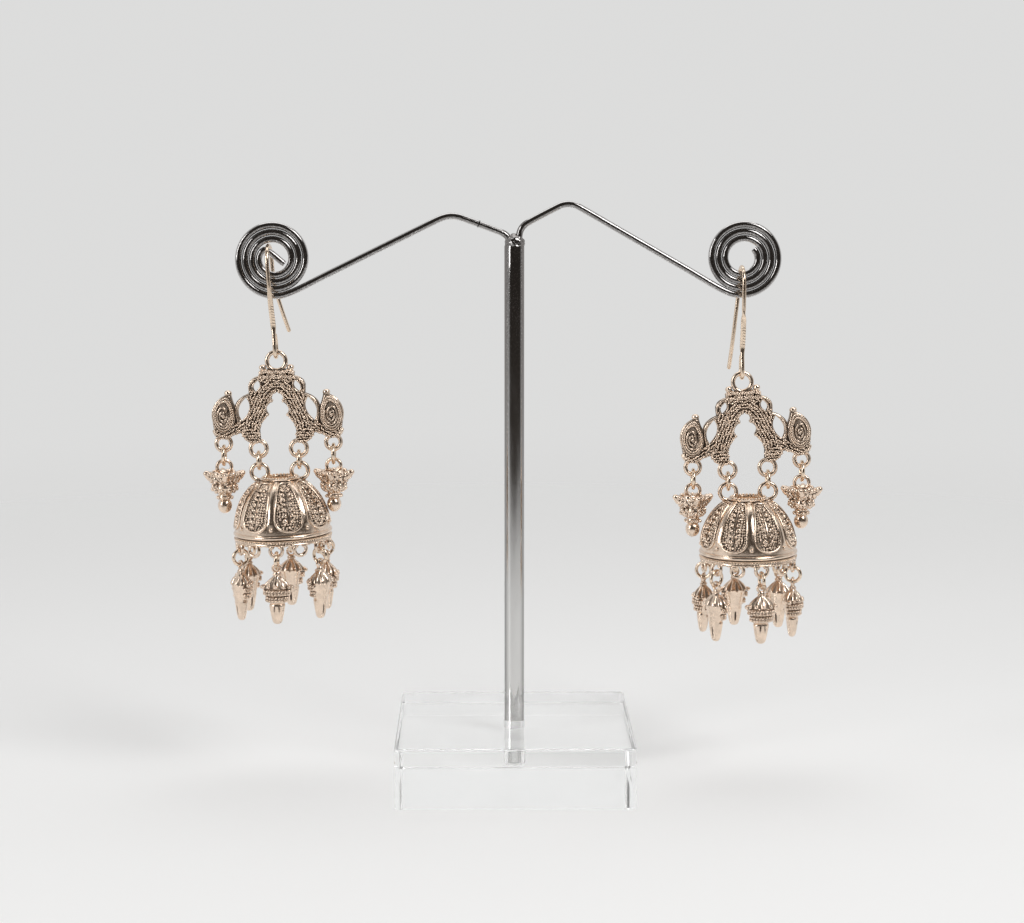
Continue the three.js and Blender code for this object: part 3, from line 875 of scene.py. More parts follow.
TOP_RING, BELL_HANG = 2.1, -22.1
EARRINGS = {
    "left": dict(
        hook=(-51.5, 114.75), hook_lean=3.2, hook_yaw=-3, hook_twist=0,
        tail=18.8, tail_bend=(0.2, 1.3, 2.4),
        pivot=(-50.191, 92.3466), tilt=0.8, bell_tilt=2.2, spin=-4.0, petal_turn=-9.0,
        turns=(0, 170, 20, 0, -15, 190),
    ),
    "right": dict(
        hook=(47.8, 110.2), hook_lean=0.7, hook_yaw=2, hook_twist=180,
        tail=22.1, tail_bend=(-0.7, -1.4, -2.0),
        pivot=(48.0865, 87.7618), tilt=4.2, bell_tilt=0.9, spin=10.7, petal_turn=-2.0,
        turns=(0, 0, 15, 0, -10, 180),
    ),
}
for row in EARRINGS.values():
    row["arch"] = shift(row["pivot"][0], 0, row["pivot"][1]) @ lean(row["tilt"])
    row["bell"] = row["arch"] @ shift(0, 0, BELL_HANG) @ lean(row["bell_tilt"] - row["tilt"])
print({side: [round(v, 2) for v in row["bell"].translation] for side, row in EARRINGS.items()})

# %% Hooks in place
for side, row in EARRINGS.items():
    path = hook_path(row["tail"], row["tail_bend"])
    hook = bar_along("hook", path, SIDEWAYS, hook_section(path, row["hook_twist"]), sides=16)
    set_ground(hook, [groove_at(v.co) for v in hook.data.vertices])
    hook_mesh = casting(side + "_hook", [hook], reach=0.5, sharp=60)
    hook_top = Matrix.Translation(flat_point(row["hook"]))
    where = hook_top @ lean(row["hook_lean"]) @ spun(row["hook_yaw"])
    set_piece(side + "_hook_wire", hook_mesh, where, "stand", side + "_ear_hook", wire_gold)

# %% [markdown]
# ## Jump rings
# Every hanging part is joined by a jump ring: a turn of wire with a hairline cut where it was
# opened and closed again. A wire along an almost full circle shows that cut, which a plain ring
# would not. The rings stand edge on to the viewer, because they link two rings that face them.

# %% Jump rings in place
SIDE_REACH, SIDE_LOW, SIDE_RING_HANG = 11.6, -20.72, -1.01
DOME_LOOP_X, DOME_RING_HANG = 4.25, -0.775
RIM_LOW, RIM_RING_HANG = -15.95, -0.79
RIM_LOOP_AT, RIM_LOOP_Z, RIM_LOOP_RADIUS = 9.75, -2.7, 1.25
RIM_DROPS = 6


def jump_ring(name, radius, wire, cut_at):
    gap = 0.05 / radius
    angles = [gap + (FULL_TURN - 2 * gap) * i / 36 for i in range(37)]
    path = [radius * Vector((0, math.sin(a + cut_at), math.cos(a + cut_at))) for a in angles]
    return casting(name, [wires(name, [path], wire, sides=10)], reach=0.4)


side_ring = jump_ring("side_ring", 1.95, 0.8, 1.2)
bell_ring = jump_ring("bell_ring", 1.75, 0.84, 2.0)
rim_ring = jump_ring("rim_ring", 1.6, 0.74, 4.3)


def rim_chain(row, i):
    azimuth = math.radians(row["spin"] + 360 / RIM_DROPS * i)
    x, y = RIM_LOOP_AT * math.sin(azimuth), -RIM_LOOP_AT * math.cos(azimuth)
    plumb = lean(-row["bell_tilt"])
    hung = shift(x, y, RIM_LOW + RIM_LOOP_Z - RIM_LOOP_RADIUS)
    return row["bell"] @ hung @ plumb @ Matrix.Rotation(azimuth, 4, "Z")


def side_chain(row, way):
    return row["arch"] @ shift(way * SIDE_REACH, 0, SIDE_LOW) @ lean(-row["tilt"])


for side, row in EARRINGS.items():
    for i, way in enumerate((-1, 1), 1):
        node = f"{side}_side_link_{i}"
        where = side_chain(row, way) @ shift(0, 0, SIDE_RING_HANG)
        set_piece(node + "_ring", side_ring, where, side + "_pendant", node, wire_gold)
        node = f"{side}_dome_link_{i}"
        slack = 0.5 * way * DOME_LOOP_X * math.sin(math.radians(row["tilt"] - row["bell_tilt"]))
        where = row["bell"] @ shift(way * DOME_LOOP_X, 0, DOME_RING_HANG + slack)
        set_piece(node + "_ring", bell_ring, where, side + "_bell", node, wire_gold)
    for i in range(RIM_DROPS):
        node = f"{side}_rim_link_{i + 1}"
        where = rim_chain(row, i) @ shift(0, 0, RIM_RING_HANG)
        set_piece(node + "_ring", rim_ring, where, side + "_bell", node, wire_gold)

# %% [markdown]
# ## The openwork arch
# The arch is a flat casting with a cusped opening, two eyes a side, a teardrop lobe on each
# shoulder and four loops below. Its outline is drawn once for the right half, as lines and bends.
# The outline and the eyes are filled with triangles, which leaves the eyes open, and extruded to
# the plate's thickness. On the plate lie rows of slanted granules that follow the arch, as twisted
# wire does on the old pieces that such castings copy, with smooth wires round the eyes.

# %% Outline of the arch
HALF_OUTLINE = (
    ("to", 2.4, -1.6), ("to", 3.7, -2.0), ("to", 3.75, -3.0),
    ("bend", 6.1, -3.4, 6.0, -5.2), ("to", 5.9, -6.6),
    ("bend", 8.6, -7.4, 8.95, -9.2),
    ("bend", 9.5, -8.2, 9.75, -6.6), ("to", 11.0, -6.9),
    ("bend", 13.9, -8.6, 13.75, -11.5), ("bend", 13.7, -13.4, 13.35, -14.6), ("to", 13.0, -16.0),
    ("to", 10.9, -16.2), ("bend", 9.4, -15.2, 7.7, -14.9), ("bend", 7.2, -16.6, 5.6, -17.1),
    ("to", 3.75, -17.0), ("to", 3.8, -15.2), ("bend", 4.2, -13.2, 1.85, -11.1),
    ("bend", 3.3, -9.6, 0.95, -8.2), ("bend", 1.9, -7.2, 0, -6.2),
)
EYES = (((3.95, -3.6), (4.6, -6.4), 1.75), ((6.5, -7.1), (7.7, -12.6), 2.7))


def bend(start, control, end, steps=8):
    start, control, end = Vector(start), Vector(control), Vector(end)
    shares = [i / steps for i in range(1, steps + 1)]
    return [start.lerp(control, t).lerp(control.lerp(end, t), t) for t in shares]


def half_outline():
    points = [Vector((0, -1.6))]
    for kind, *numbers in HALF_OUTLINE:
        if kind == "to":
            points.append(Vector(numbers))
        else:
            points += bend(points[-1], numbers[:2], numbers[2:])
    return points


def eye_outline(top, low, swell):
    middle = Vector(top).lerp(Vector(low), 0.5)
    one_side = bend(top, middle - Vector((swell, 0)), low, 10)
    return one_side + bend(low, middle + Vector((swell, 0)), top, 10)


right_outline = half_outline()
flip = Vector((-1, 1))
arch_outline = right_outline + [p * flip for p in reversed(right_outline[1:-1])]
right_eyes = [eye_outline(*eye) for eye in EYES]
all_eyes = right_eyes + [[p * flip for p in eye] for eye in right_eyes]
print(len(arch_outline), "points round the arch,", len(all_eyes), "eyes")

# %% Plate of the arch
PLATE_THICK = 1.5


def plate(name, outlines):
    bm = bmesh.new()
    for outline in outlines:
        verts = [bm.verts.new((p.x, PLATE_THICK / 2, p.y)) for p in outline]
        for pair in zip(verts, verts[1:] + verts[:1]):
            bm.edges.new(pair)
    bmesh.ops.triangle_fill(bm, use_beauty=True, edges=bm.edges[:])
    made = bmesh.ops.extrude_face_region(bm, geom=bm.faces[:], use_keep_orig=True)["geom"]
    fresh = [item for item in made if isinstance(item, bmesh.types.BMVert)]
    bmesh.ops.translate(bm, verts=fresh, vec=(0, -PLATE_THICK, 0))
    return from_bmesh(name, bm)


arch_plate = plate("arch_plate", [arch_outline, *all_eyes])
ON_FRONT = 0.05 - PLATE_THICK / 2
set_ground(arch_plate, [0.7 if v.co.y < ON_FRONT else 0.45 for v in arch_plate.data.vertices])
print("plate has", len(arch_plate.data.polygons), "faces")

# %% Where granules may lie
def dense(points, closed, step=0.12):
    flat = [Vector((p[0], p[1])) for p in points]
    pairs = list(zip(flat, flat[1:] + flat[:1])) if closed else list(zip(flat, flat[1:]))
    found = []
    for a, b in pairs:
        count = max(1, math.ceil((b - a).length / step))
        found += [a.lerp(b, i / count) for i in range(count)]
    return np.array([(p.x, p.y) for p in found])


arch_edges = np.vstack([dense(o, True) for o in [arch_outline, *all_eyes]])


def in_outline(x, z, outline):
    inside = False
    for a, b in zip(outline, outline[1:] + outline[:1]):
        if (a.y > z) != (b.y > z) and x < (b.x - a.x) * (z - a.y) / (b.y - a.y) + a.x:
            inside = not inside
    return inside


def clear_of_edges(x, z):
    if not in_outline(x, z, arch_outline) or any(in_outline(x, z, eye) for eye in all_eyes):
        return -1.0
    return float(np.hypot(arch_edges[:, 0] - x, arch_edges[:, 1] - z).min())


print("edge points", len(arch_edges))

# %% Lobes: teardrops with a swirl
LOBE_MIDDLE = Vector((11.4, 0, -10.9))
LOBE_WIDE, LOBE_DEEP, LOBE_TALL = 2.4, 1.6, 4.05
LOBE_PROUD, SWIRL_OFF = 0.1, Vector((0.1, 0, -0.2))


def lobe_row(w):
    """Half the teardrop's width at a height from -1 to 1, and how far it leans inwards there."""
    rise = min(1.0, max(0.0, w))
    return LOBE_WIDE * (1 - 0.28 * rise ** 1.3), -1.15 * rise ** 4


def lobe_shape(u, v, w):
    """A point of the unit ball, as right, towards the back and up, carried onto the teardrop."""
    wide, drift = lobe_row(w)
    return LOBE_MIDDLE + Vector((wide * u + drift, LOBE_DEEP * v, LOBE_TALL * w))


def lobe_face(share, angle, front, lift=0.0):
    u, w = share * math.cos(angle), share * math.sin(angle)
    deep = math.sqrt(max(0.0, 1 - share * share)) + lift / LOBE_DEEP
    return lobe_shape(u, front * deep, w)


def in_lobe(x, z):
    w = (z - LOBE_MIDDLE.z) / LOBE_TALL
    wide, drift = lobe_row(w)
    u = (x - LOBE_MIDDLE.x - drift) / wide
    return u * u + w * w < 1.0


bm = bmesh.new()
bmesh.ops.create_uvsphere(bm, u_segments=32, v_segments=20, radius=1.0)
for vert in bm.verts:
    vert.co = lobe_shape(*vert.co)
lobe = set_ground(from_bmesh("lobe", bm), 0.62)
swirl_paths, hem_paths, seed_places = [], [], []
for front in (-1, 1):
    coil = [(0.6 - 0.52 * i / 90, 0.9 * math.pi + 2.3 * FULL_TURN * i / 90) for i in range(91)]
    swirl_paths.append([lobe_face(s, a, front, LOBE_PROUD) + SWIRL_OFF * (1 - s) for s, a in coil])
    hem_paths.append([lobe_face(0.95, FULL_TURN * i / 56, front, LOBE_PROUD) for i in range(56)])
    for share, count, size in ((0.83, 44, (0.38, 0.25, 0.32)), (0.7, 36, (0.34, 0.23, 0.3))):
        for i in range(count):
            angle = FULL_TURN * i / count
            here = lobe_face(share, angle, front, LOBE_PROUD)
            there = lobe_face(share, angle + 0.05, front, LOBE_PROUD)
            way = there - here + Vector((0.05, 0, 0.05))
            seed_places.append((here, way, Vector((0, front, 0)), size))
    swirl_middle = lobe_face(0.0, 0.0, front, LOBE_PROUD) + SWIRL_OFF
    seed_places.append((swirl_middle, SIDEWAYS, Vector((0, front, 0)), (0.36, 0.36, 0.3)))
lobe_parts = [
    lobe,
    wires("lobe_swirl", swirl_paths, 0.44),
    wires("lobe_hem", hem_paths, 0.5, closed=True),
    granules("lobe_seeds", seed_places),
]
print("lobe swirl has", len(swirl_paths[0]), "points a side")

# %% Knobs and loops of the arch
def knob(name, rows, where):
    return moved(turned(name, rows, 20), where)


neck_rows = [
    (0, -1.9), (0.9, -1.9), (0.66, -1.3), (0.95, -1.1), (0.95, -0.82), (0.55, -0.66), (0.5, -0.36),
    (0.66, -0.2), (0.82, 0.16), (0.76, 0.52), (0.46, 0.8), (0, 0.9),
]
point_rows = [
    (0, -0.9), (0.8, -0.85), (0.92, -0.55), (0.7, -0.36),
    (0.62, 0.0), (0.36, 0.45), (0.14, 0.72), (0, 0.78),
]
ball_rows = [
    (0, -0.95), (0.9, -0.9), (0.98, -0.55), (0.66, -0.34),
    (0.72, 0.0), (0.74, 0.3), (0.5, 0.62), (0, 0.74),
]
finial = knob("lobe_finial", neck_rows, shift(10.4, 0, -6.7) @ lean(8))
shoulder = knob("ring_shoulder", ball_rows, shift(2.95, 0, -1.2) @ lean(-16))
corner = knob("corner_knob", point_rows, shift(13.1, 0, -14.8) @ lean(-56) @ Matrix.Scale(1.2, 4))
inner_at, outer_at = shift(DOME_LOOP_X, 0, -18.35), shift(SIDE_REACH, 0, -17.15)
arch_loops = [
    moved(ring("inner_loop", 1.66, 0.86, steps=36, sides=12), inner_at),
    moved(ring("inner_hem", 2.03, 0.3, steps=36), inner_at),
    moved(ring("outer_loop", 1.5, 0.84, steps=36, sides=12), outer_at),
    moved(ring("outer_hem", 1.86, 0.3, steps=36), outer_at),
]
print("knobs and loops:", 3 + len(arch_loops))

# %% Smooth wires round the eyes
FRONT_Y = -PLATE_THICK / 2


def lifted(points, y, x=0.0, z=0.0):
    return [Vector((p[0] + x, y, p[1] + z)) for p in points]


def both_faces(paths, x=0.0, z=0.0):
    return [lifted(path, y, x, z) for path in paths for y in (FRONT_Y, -FRONT_Y)]


BOW_TOP = (3.75, -3.0)
ear_bow = [Vector(BOW_TOP), *bend(BOW_TOP, (6.1, -3.4), (6.0, -5.2)), Vector((5.9, -6.5))]
crescent = [Vector((5.9, -6.65))] + bend((5.9, -6.65), (8.6, -7.4), (8.85, -9.4))
crescent += bend(crescent[-1], (8.95, -11.6), (8.2, -13.3))
eye_wires = [
    wires("eye_rims", both_faces(right_eyes), 0.36, closed=True),
    wires("ear_bows", both_faces([ear_bow], -0.22, -0.1), 0.5),
    wires("crescents", both_faces([crescent], -0.28, -0.1), 0.56),
]
print("eye wires", len(eye_wires))

# %% Rows of granules on the arch
ROW_STEP, GRANULE_STEP = 0.62, 0.5
random.seed(7)


def along_row(path, offset, step):
    """Places at equal steps along a flat path shifted to its left, with the way it runs."""
    points = dense(path, False, 0.05)
    ways = np.gradient(points, axis=0)
    ways /= np.linalg.norm(ways, axis=1)[:, None]
    shifted = points + offset * np.stack([-ways[:, 1], ways[:, 0]], axis=1)
    gone = np.concatenate([[0], np.cumsum(np.linalg.norm(np.diff(shifted, axis=0), axis=1))])
    for target in np.arange(random.uniform(0.2, 0.8) * step, gone[-1], step):
        i = int(np.searchsorted(gone, target))
        yield shifted[i], ways[i]


def slanted(x, z, way, slant, y, front, size):
    tilt = math.radians(slant + random.uniform(-20, 20))
    cosine, sine = math.cos(tilt), math.sin(tilt)
    turned_way = Vector((way[0] * cosine - way[1] * sine, 0, way[0] * sine + way[1] * cosine))
    grow = random.uniform(0.78, 1.18)
    point = Vector((x + random.uniform(-0.1, 0.1), y, z + random.uniform(-0.1, 0.1)))
    return point, turned_way, Vector((0, front, 0)), tuple(v * grow for v in size)


arch_row = smooth_path([flat_point(p) for p in (
    (3.8, -14.2), (3.75, -13.0), (2.75, -10.9), (1.9, -8.9), (1.0, -7.2), (0.0, -6.5),
)], 0.3)
arm_row = [Vector((12.9, -16.1)), Vector((9.4, -14.7)), Vector((6.2, -12.6))]
leg_row = [Vector((7.4, -17.0)), Vector((3.4, -17.0))]
crown_row = [Vector((0.05, -6.0)), Vector((5.4, -6.0))]


def under_crown(x, z):
    return z < 2.2 * x - 7.2


def on_arch(x, z):
    return z > -14.0 and (x < 7.0 or z > -12.4) and under_crown(x, z)


row_plans = (
    ([(p.x, p.z) for p in arch_row], -1, 13, on_arch),
    (arm_row, -1, 6, lambda x, z: x > 6.6 and z < -12.2),
    (leg_row, -1, 6, lambda x, z: z <= -13.8 and x < 7.4),
    (crown_row, 1, 8, lambda x, z: z > -6.1 and not under_crown(x, z)),
)
row_places = []
for path, hand, count, wanted in row_plans:
    for k in range(-2, count):
        step = GRANULE_STEP * random.uniform(0.94, 1.08)
        for (x, z), way in along_row(path, hand * (0.3 + ROW_STEP * k), step):
            on_crescent = 8.2 < x < 9.6 and -13.0 < z < -7.0
            if x < 0.02 or on_crescent or not wanted(x, z) or in_lobe(x, z):
                continue
            if clear_of_edges(x, z) < 0.25:
                continue
            slant = 34 if k % 2 else -28
            row_places.append(slanted(x, z, way, slant, FRONT_Y - 0.04, -1, (0.5, 0.24, 0.4)))
print(len(row_places), "granules on half the arch")

# %% Rope round the edges of the arch
edge_places = []
for (x, z), way in along_row([(p.x, p.y) for p in right_outline], -0.22, 0.5):
    on_smooth_wire = x > 3.7 and -9.4 < z < -3.0
    if x > 0.1 and not in_lobe(x, z) and not on_smooth_wire:
        for front in (-1, 1):
            y = front * (PLATE_THICK / 2 + 0.02)
            edge_places.append(slanted(x, z, way, 35 * front, y, front, (0.36, 0.24, 0.28)))
band_places = []
for height in (-2.1, -3.0):
    for (x, z), way in along_row([(0.0, height), (3.7, height)], 0.0, 0.5):
        band_places.append(slanted(x, z, way, 40, FRONT_Y - 0.16, -1, (0.46, 0.3, 0.42)))
half_parts = [
    *lobe_parts, finial, shoulder, corner, *arch_loops, *eye_wires,
    granules("arch_rows", row_places),
    granules("arch_rope", edge_places),
    granules("arch_band", band_places),
]


def mirrored(part):
    twin = in_scene(part.name + "_twin", part.data.copy())
    twin.data.transform(Matrix.Scale(-1, 4, SIDEWAYS))
    twin.data.flip_normals()
    return twin


top_ring = moved(ring("top_ring", TOP_RING - 0.12, 0.96, steps=48, sides=14), shift(0, 0, 0.2))
arch_parts = [arch_plate, top_ring, *half_parts, *[mirrored(p) for p in half_parts]]
arch_mesh = casting("arch", arch_parts, reach=1.0)
for side, row in EARRINGS.items():
    where = row["arch"] @ shift(0, 0, -TOP_RING)
    set_piece(side + "_arch", arch_mesh, where, side + "_pendant", side + "_frame", worked_gold)

# %% [markdown]
# ## Side drops
# Each side drop is a four-cornered bud: a crown with turned-up corners, seven rows of granules and
# a smooth round tip. A turned body that is pulled towards its corners gives the bud, and granules
# follow each row with the same pull, so they stay on its faces.

# %% Side drop body
BUD_ROWS = [
    (0, -1.5), (1.2, -1.55), (2.6, -1.45), (3.3, -1.5), (3.45, -1.8), (3.15, -2.4), (2.8, -2.9),
    (2.5, -3.2), (2.35, -3.45), (2.4, -3.7), (2.55, -4.05), (2.45, -4.5), (2.15, -4.95),
    (1.6, -5.35), (1.3, -5.6), (1.25, -5.9), (1.4, -6.15), (1.45, -6.4), (1.25, -6.65),
    (1.0, -6.85), (1.15, -7.1), (1.3, -7.45), (1.38, -7.9), (1.34, -8.4), (1.2, -8.85),
    (0.9, -9.3), (0.5, -9.58), (0, -9.7),
]


def bud_pull(angle, height):
    """How far the bud reaches to its corners, which lie on the axes. It is round at the tip."""
    square = 1.32 + 0.68 * smooth_step(-height, 3.6, 6.0)
    c, s = abs(math.cos(angle)), abs(math.sin(angle))
    return (c ** square + s ** square) ** (-1 / square)


bud = turned("bud", BUD_ROWS, 48)
for vert in bud.data.vertices:
    pull = bud_pull(math.atan2(vert.co.y, vert.co.x), vert.co.z)
    vert.co.x *= pull
    vert.co.y *= pull
print("bud has", len(bud.data.polygons), "faces")

# %% Side drop granules and corners
random.seed(31)


def bud_place(radius, height, angle, size, slope, upright=False):
    pull = bud_pull(angle, height)
    outwards = Vector((math.cos(angle), math.sin(angle), 0))
    point = outwards * radius * pull + UPRIGHT * height
    up = (outwards + UPRIGHT * slope).normalized()
    along = outwards.cross(up)
    if upright:
        along = Vector((random.uniform(-0.4, 0.4), random.uniform(-0.4, 0.4), 1))
    return point, along, up, size


BUD_TIERS = (
    (3.2, -1.55, 16, (0.5, 0.44, 0.44), False), (2.85, -2.35, 12, (0.72, 0.5, 0.5), True),
    (2.55, -3.05, 12, (0.42, 0.36, 0.36), False), (2.38, -3.95, 12, (0.56, 0.44, 0.44), True),
    (2.28, -4.6, 10, (0.52, 0.46, 0.44), True), (1.8, -5.1, 10, (0.36, 0.34, 0.34), False),
    (1.4, -6.3, 10, (0.4, 0.36, 0.36), False),
)
bud_places = []
for tier, (radius, height, count, size, upright) in enumerate(BUD_TIERS):
    for i in range(count):
        angle = FULL_TURN * (i + 0.5 * (tier % 2)) / count + random.uniform(-0.08, 0.08)
        grow = random.uniform(0.8, 1.2)
        grown = tuple(v * grow for v in size)
        bud_places.append(bud_place(radius, height, angle, grown, -0.35, upright))
horn_rows = [
    (0, -1.0), (0.8, -0.9), (0.95, -0.35), (0.8, 0.25),
    (0.6, 0.7), (0.54, 0.95), (0.36, 1.2), (0, 1.3),
]
horns = []
for i in range(4):
    out_turn = spun(90 * i) @ shift(2.95, 0, -1.75) @ Matrix.Rotation(math.radians(50), 4, "Y")
    horns.append(moved(turned("horn", horn_rows, 14), out_turn))
    bud_places.append(bud_place(2.7, -1.3, math.radians(90 * i + 45), (0.95, 0.6, 0.55), 0.4))
    for way in (-1, 1):
        beside = math.radians(90 * i + 16 * way)
        bud_places.append(bud_place(3.5, -1.35, beside, (0.52, 0.46, 0.46), 0.5))
BUD_STRETCH, BUD_HANG = Matrix.Diagonal((1.1, 1.1, 1.03, 1)), -3.51
bud_loop = ring("bud_loop", 1.4, 0.72, steps=36, sides=12)
bud_parts = [bud, bud_loop, *horns, granules("bud_granules", bud_places)]
bud_mesh = casting("side_drop", bud_parts, reach=1.0)
for side, row in EARRINGS.items():
    for i, way in enumerate((-1, 1), 1):
        node = f"{side}_side_drop_{i}"
        where = side_chain(row, way) @ shift(0, 0, BUD_HANG) @ spun(-12 * way) @ BUD_STRETCH
        set_piece(node + "_bud", bud_mesh, where, side + "_pendant", node, drop_gold)

# %% [markdown]
# ## The bell
# The bell is a hollow dome with eight petals, and smooth ribs between them that widen downwards.
# It is spun as one closed profile, so it has a wall and an open mouth. Then each vertex of its
# outside is pressed in or raised by where it lies: in a petal's field or on a rib. Wires edge the
# petals, and granules and leaves fill them.

# %% Bell profile
BELL_RADIUS, BELL_RISE, BELL_SPRING, BELL_WALL = 10.1, 11.5, 0.5, 0.7
TOP_CLIMB = 66.0
PETALS = 8
BELL_STEPS = 240


def arc_rows(radius, rise, from_climb, to_climb, count):
    span = to_climb - from_climb
    climbs = [math.radians(from_climb + span * i / count) for i in range(count + 1)]
    return [(radius * math.cos(c), BELL_SPRING + rise * math.sin(c)) for c in climbs]


collar_rows = [
    (3.3, 11.2), (3.42, 11.42), (3.85, 11.5), (4.2, 11.42), (4.34, 11.26), (4.26, 11.12),
    (4.0, 11.08),
]
rim_rows = [
    (10.12, 0.36), (10.3, 0.32), (10.44, 0.12), (10.47, -0.1), (10.42, -0.32), (10.28, -0.44),
    (10.1, -0.48), (9.96, -0.54), (9.96, -0.66), (10.08, -0.72), (10.18, -0.82), (10.16, -1.0),
    (10.14, -1.2), (10.18, -1.42), (10.24, -1.54), (10.16, -1.68), (10.0, -1.76), (9.85, -1.86),
    (9.3, -1.9),
]
inner_rows = arc_rows(BELL_RADIUS - BELL_WALL, BELL_RISE - BELL_WALL, 0, 68.8, 14)
outer_rows = arc_rows(BELL_RADIUS, BELL_RISE, TOP_CLIMB, 0, 58)
bell_rows = collar_rows + outer_rows + rim_rows + inner_rows
bell_body = turned("bell_body", bell_rows, BELL_STEPS, closed=True)
print("bell body has", len(bell_body.data.polygons), "faces")

# %% Petals and ribs
PETAL_LOW, PETAL_HIGH = 3.6, 62.5
RIB_HALF = 0.86
FIELD_DEPTH, RIB_RISE = 0.36, 0.2


def rounded_end(share):
    return (1 - (1 - min(1.0, share)) ** 2.3) ** (1 / 2.3)


def petal_half(climb):
    """Half of a petal's width in degrees round the bell, at a height given as degrees of climb."""
    if not PETAL_LOW < climb < PETAL_HIGH:
        return 0.0
    radius = BELL_RADIUS * math.cos(math.radians(climb))
    full = 180 / PETALS - math.degrees(RIB_HALF / radius)
    return full * rounded_end((climb - PETAL_LOW) / 15.0) * rounded_end((PETAL_HIGH - climb) / 5.0)


def bell_place(azimuth, climb, proud):
    """A point on the bell and the way out of its surface. Azimuth 0 faces the viewer."""
    c, a = math.radians(climb), math.radians(azimuth)
    out = Vector((math.cos(c) / BELL_RADIUS, math.sin(c) / BELL_RISE)).normalized()
    radius = BELL_RADIUS * math.cos(c) + proud * out.x
    height = BELL_SPRING + BELL_RISE * math.sin(c) + proud * out.y
    up = Vector((out.x * math.sin(a), -out.x * math.cos(a), out.y))
    return Vector((radius * math.sin(a), -radius * math.cos(a), height)), up


def inside_petal(azimuth, climb):
    """How far a place lies inside the nearest petal, in millimetres. It is negative on a rib."""
    off = abs((azimuth % (360 / PETALS)) - 180 / PETALS)
    return math.radians(petal_half(climb) - off) * BELL_RADIUS * math.cos(math.radians(climb))


def bell_relief(azimuth, climb):
    """How far the surface is raised over the plain dome. A rib lies at azimuth 0."""
    inwards = inside_petal(azimuth, climb)
    if inwards > 0:
        return -FIELD_DEPTH * smooth_step(inwards, 0.1, 0.4)
    off = abs((azimuth + 180 / PETALS) % (360 / PETALS) - 180 / PETALS)
    share = math.radians(off) * BELL_RADIUS * math.cos(math.radians(climb)) / RIB_HALF
    return RIB_RISE * max(0.0, 1 - share * share) * smooth_step(climb, 5.0, 14.0)


grounds = np.zeros(len(bell_body.data.vertices), np.float32)
for i, vert in enumerate(bell_body.data.vertices):
    radius = math.hypot(vert.co.x, vert.co.y)
    lift = (vert.co.z - BELL_SPRING) / BELL_RISE
    if 0.02 < lift < math.sin(math.radians(TOP_CLIMB - 0.5)):
        climb = math.degrees(math.asin(lift))
        if radius > BELL_RADIUS * math.cos(math.radians(climb)) - 0.3:
            azimuth = math.degrees(math.atan2(vert.co.x, -vert.co.y))
            point, up = bell_place(azimuth, climb, 0.0)
            vert.co += up * bell_relief(azimuth, climb)
            grounds[i] = 0.6 * smooth_step(inside_petal(azimuth, climb), 0.15, 0.35)
    if -0.68 < vert.co.z < -0.52 and 9.9 < radius < 10.0:
        grounds[i] = 0.9
set_ground(bell_body, grounds)
print("relief pressed into the bell")

# %% Wires and granules of one petal
random.seed(23)
PETAL_MIDDLES = [(180 + 360 * k) / PETALS for k in range(PETALS)]


def petal_point(middle, sideways, climb, proud):
    """A place in a petal, sideways in millimetres from its middle line."""
    radius = BELL_RADIUS * math.cos(math.radians(climb))
    return bell_place(middle + math.degrees(sideways / radius), climb, proud)


def half_width(climb):
    return math.radians(petal_half(climb)) * BELL_RADIUS * math.cos(math.radians(climb))


def petal_edge(middle, inset, proud, count=40):
    low, high = PETAL_LOW + inset * 5.2, PETAL_HIGH - inset * 5.6
    shares = [0.5 - 0.5 * math.cos(math.pi * i / count) for i in range(count + 1)]
    climbs = [PETAL_LOW + (PETAL_HIGH - PETAL_LOW) * share for share in shares]
    edge = [(max(0.0, half_width(c) - inset), min(max(c, low), high)) for c in climbs]
    there = [petal_point(middle, across, climb, proud)[0] for across, climb in edge]
    back = [petal_point(middle, -across, climb, proud)[0] for across, climb in reversed(edge)]
    return there[1:] + back[1:]


hem_paths, stem_paths, petal_places = [], [], []
for middle in PETAL_MIDDLES:
    hem_paths.append(petal_edge(middle, 0.0, 0.1))
    stem_paths.append([petal_point(middle, 0, PETAL_LOW + 9 + i * 3.3, -0.2)[0] for i in range(14)])
    for i in range(7):
        climb = PETAL_LOW + 11 + i * 6.2
        reach = min(0.72, half_width(climb) - 0.95)
        for way in (-1, 1):
            point, up = petal_point(middle, way * reach, climb, -0.12)
            tip_climb = climb + random.uniform(1.6, 4.6)
            ahead = petal_point(middle, way * (reach + 0.5), tip_climb, -0.12)[0] - point
            grow = random.uniform(0.85, 1.15)
            petal_places.append((point, ahead, up, (0.66 * grow, 0.38 * grow, 0.38)))
print(len(hem_paths), "petals")

# %% Granules that fill the petals
def petal_fill():
    climb, row = PETAL_LOW + 4.6, 0
    while climb < PETAL_HIGH - 3.0:
        among_leaves = PETAL_LOW + 8 < climb < PETAL_LOW + 50
        across = 1.22 if among_leaves else 0.3 * (row % 2)
        while across < half_width(climb) - 0.66:
            yield across, climb
            across += 0.6
        climb += 2.9
        row += 1


for middle in PETAL_MIDDLES:
    for across, climb in petal_fill():
        for way in (-1, 1):
            if climb < 18 and random.random() < 0.16:
                continue
            wander, rise = random.uniform(-0.1, 0.1), random.uniform(-0.6, 0.6)
            point, up = petal_point(middle, way * across + wander, climb + rise, -0.16)
            size = 0.36 * random.uniform(0.74, 1.18)
            petal_places.append((point, UPRIGHT, up, (size, size * 0.9, size)))
    edge = petal_edge(middle, 0.5, -0.1, 60)
    gap = 0.0
    for a, b in zip(edge, edge[1:] + edge[:1]):
        gap += (b - a).length
        if gap > 0.46:
            gap = 0.0
            outwards = Vector((a.x, a.y, a.z * 0.75)).normalized()
            petal_places.append((a, b - a, outwards, (0.25, 0.21, 0.26)))
print(len(petal_places), "granules in the petals")

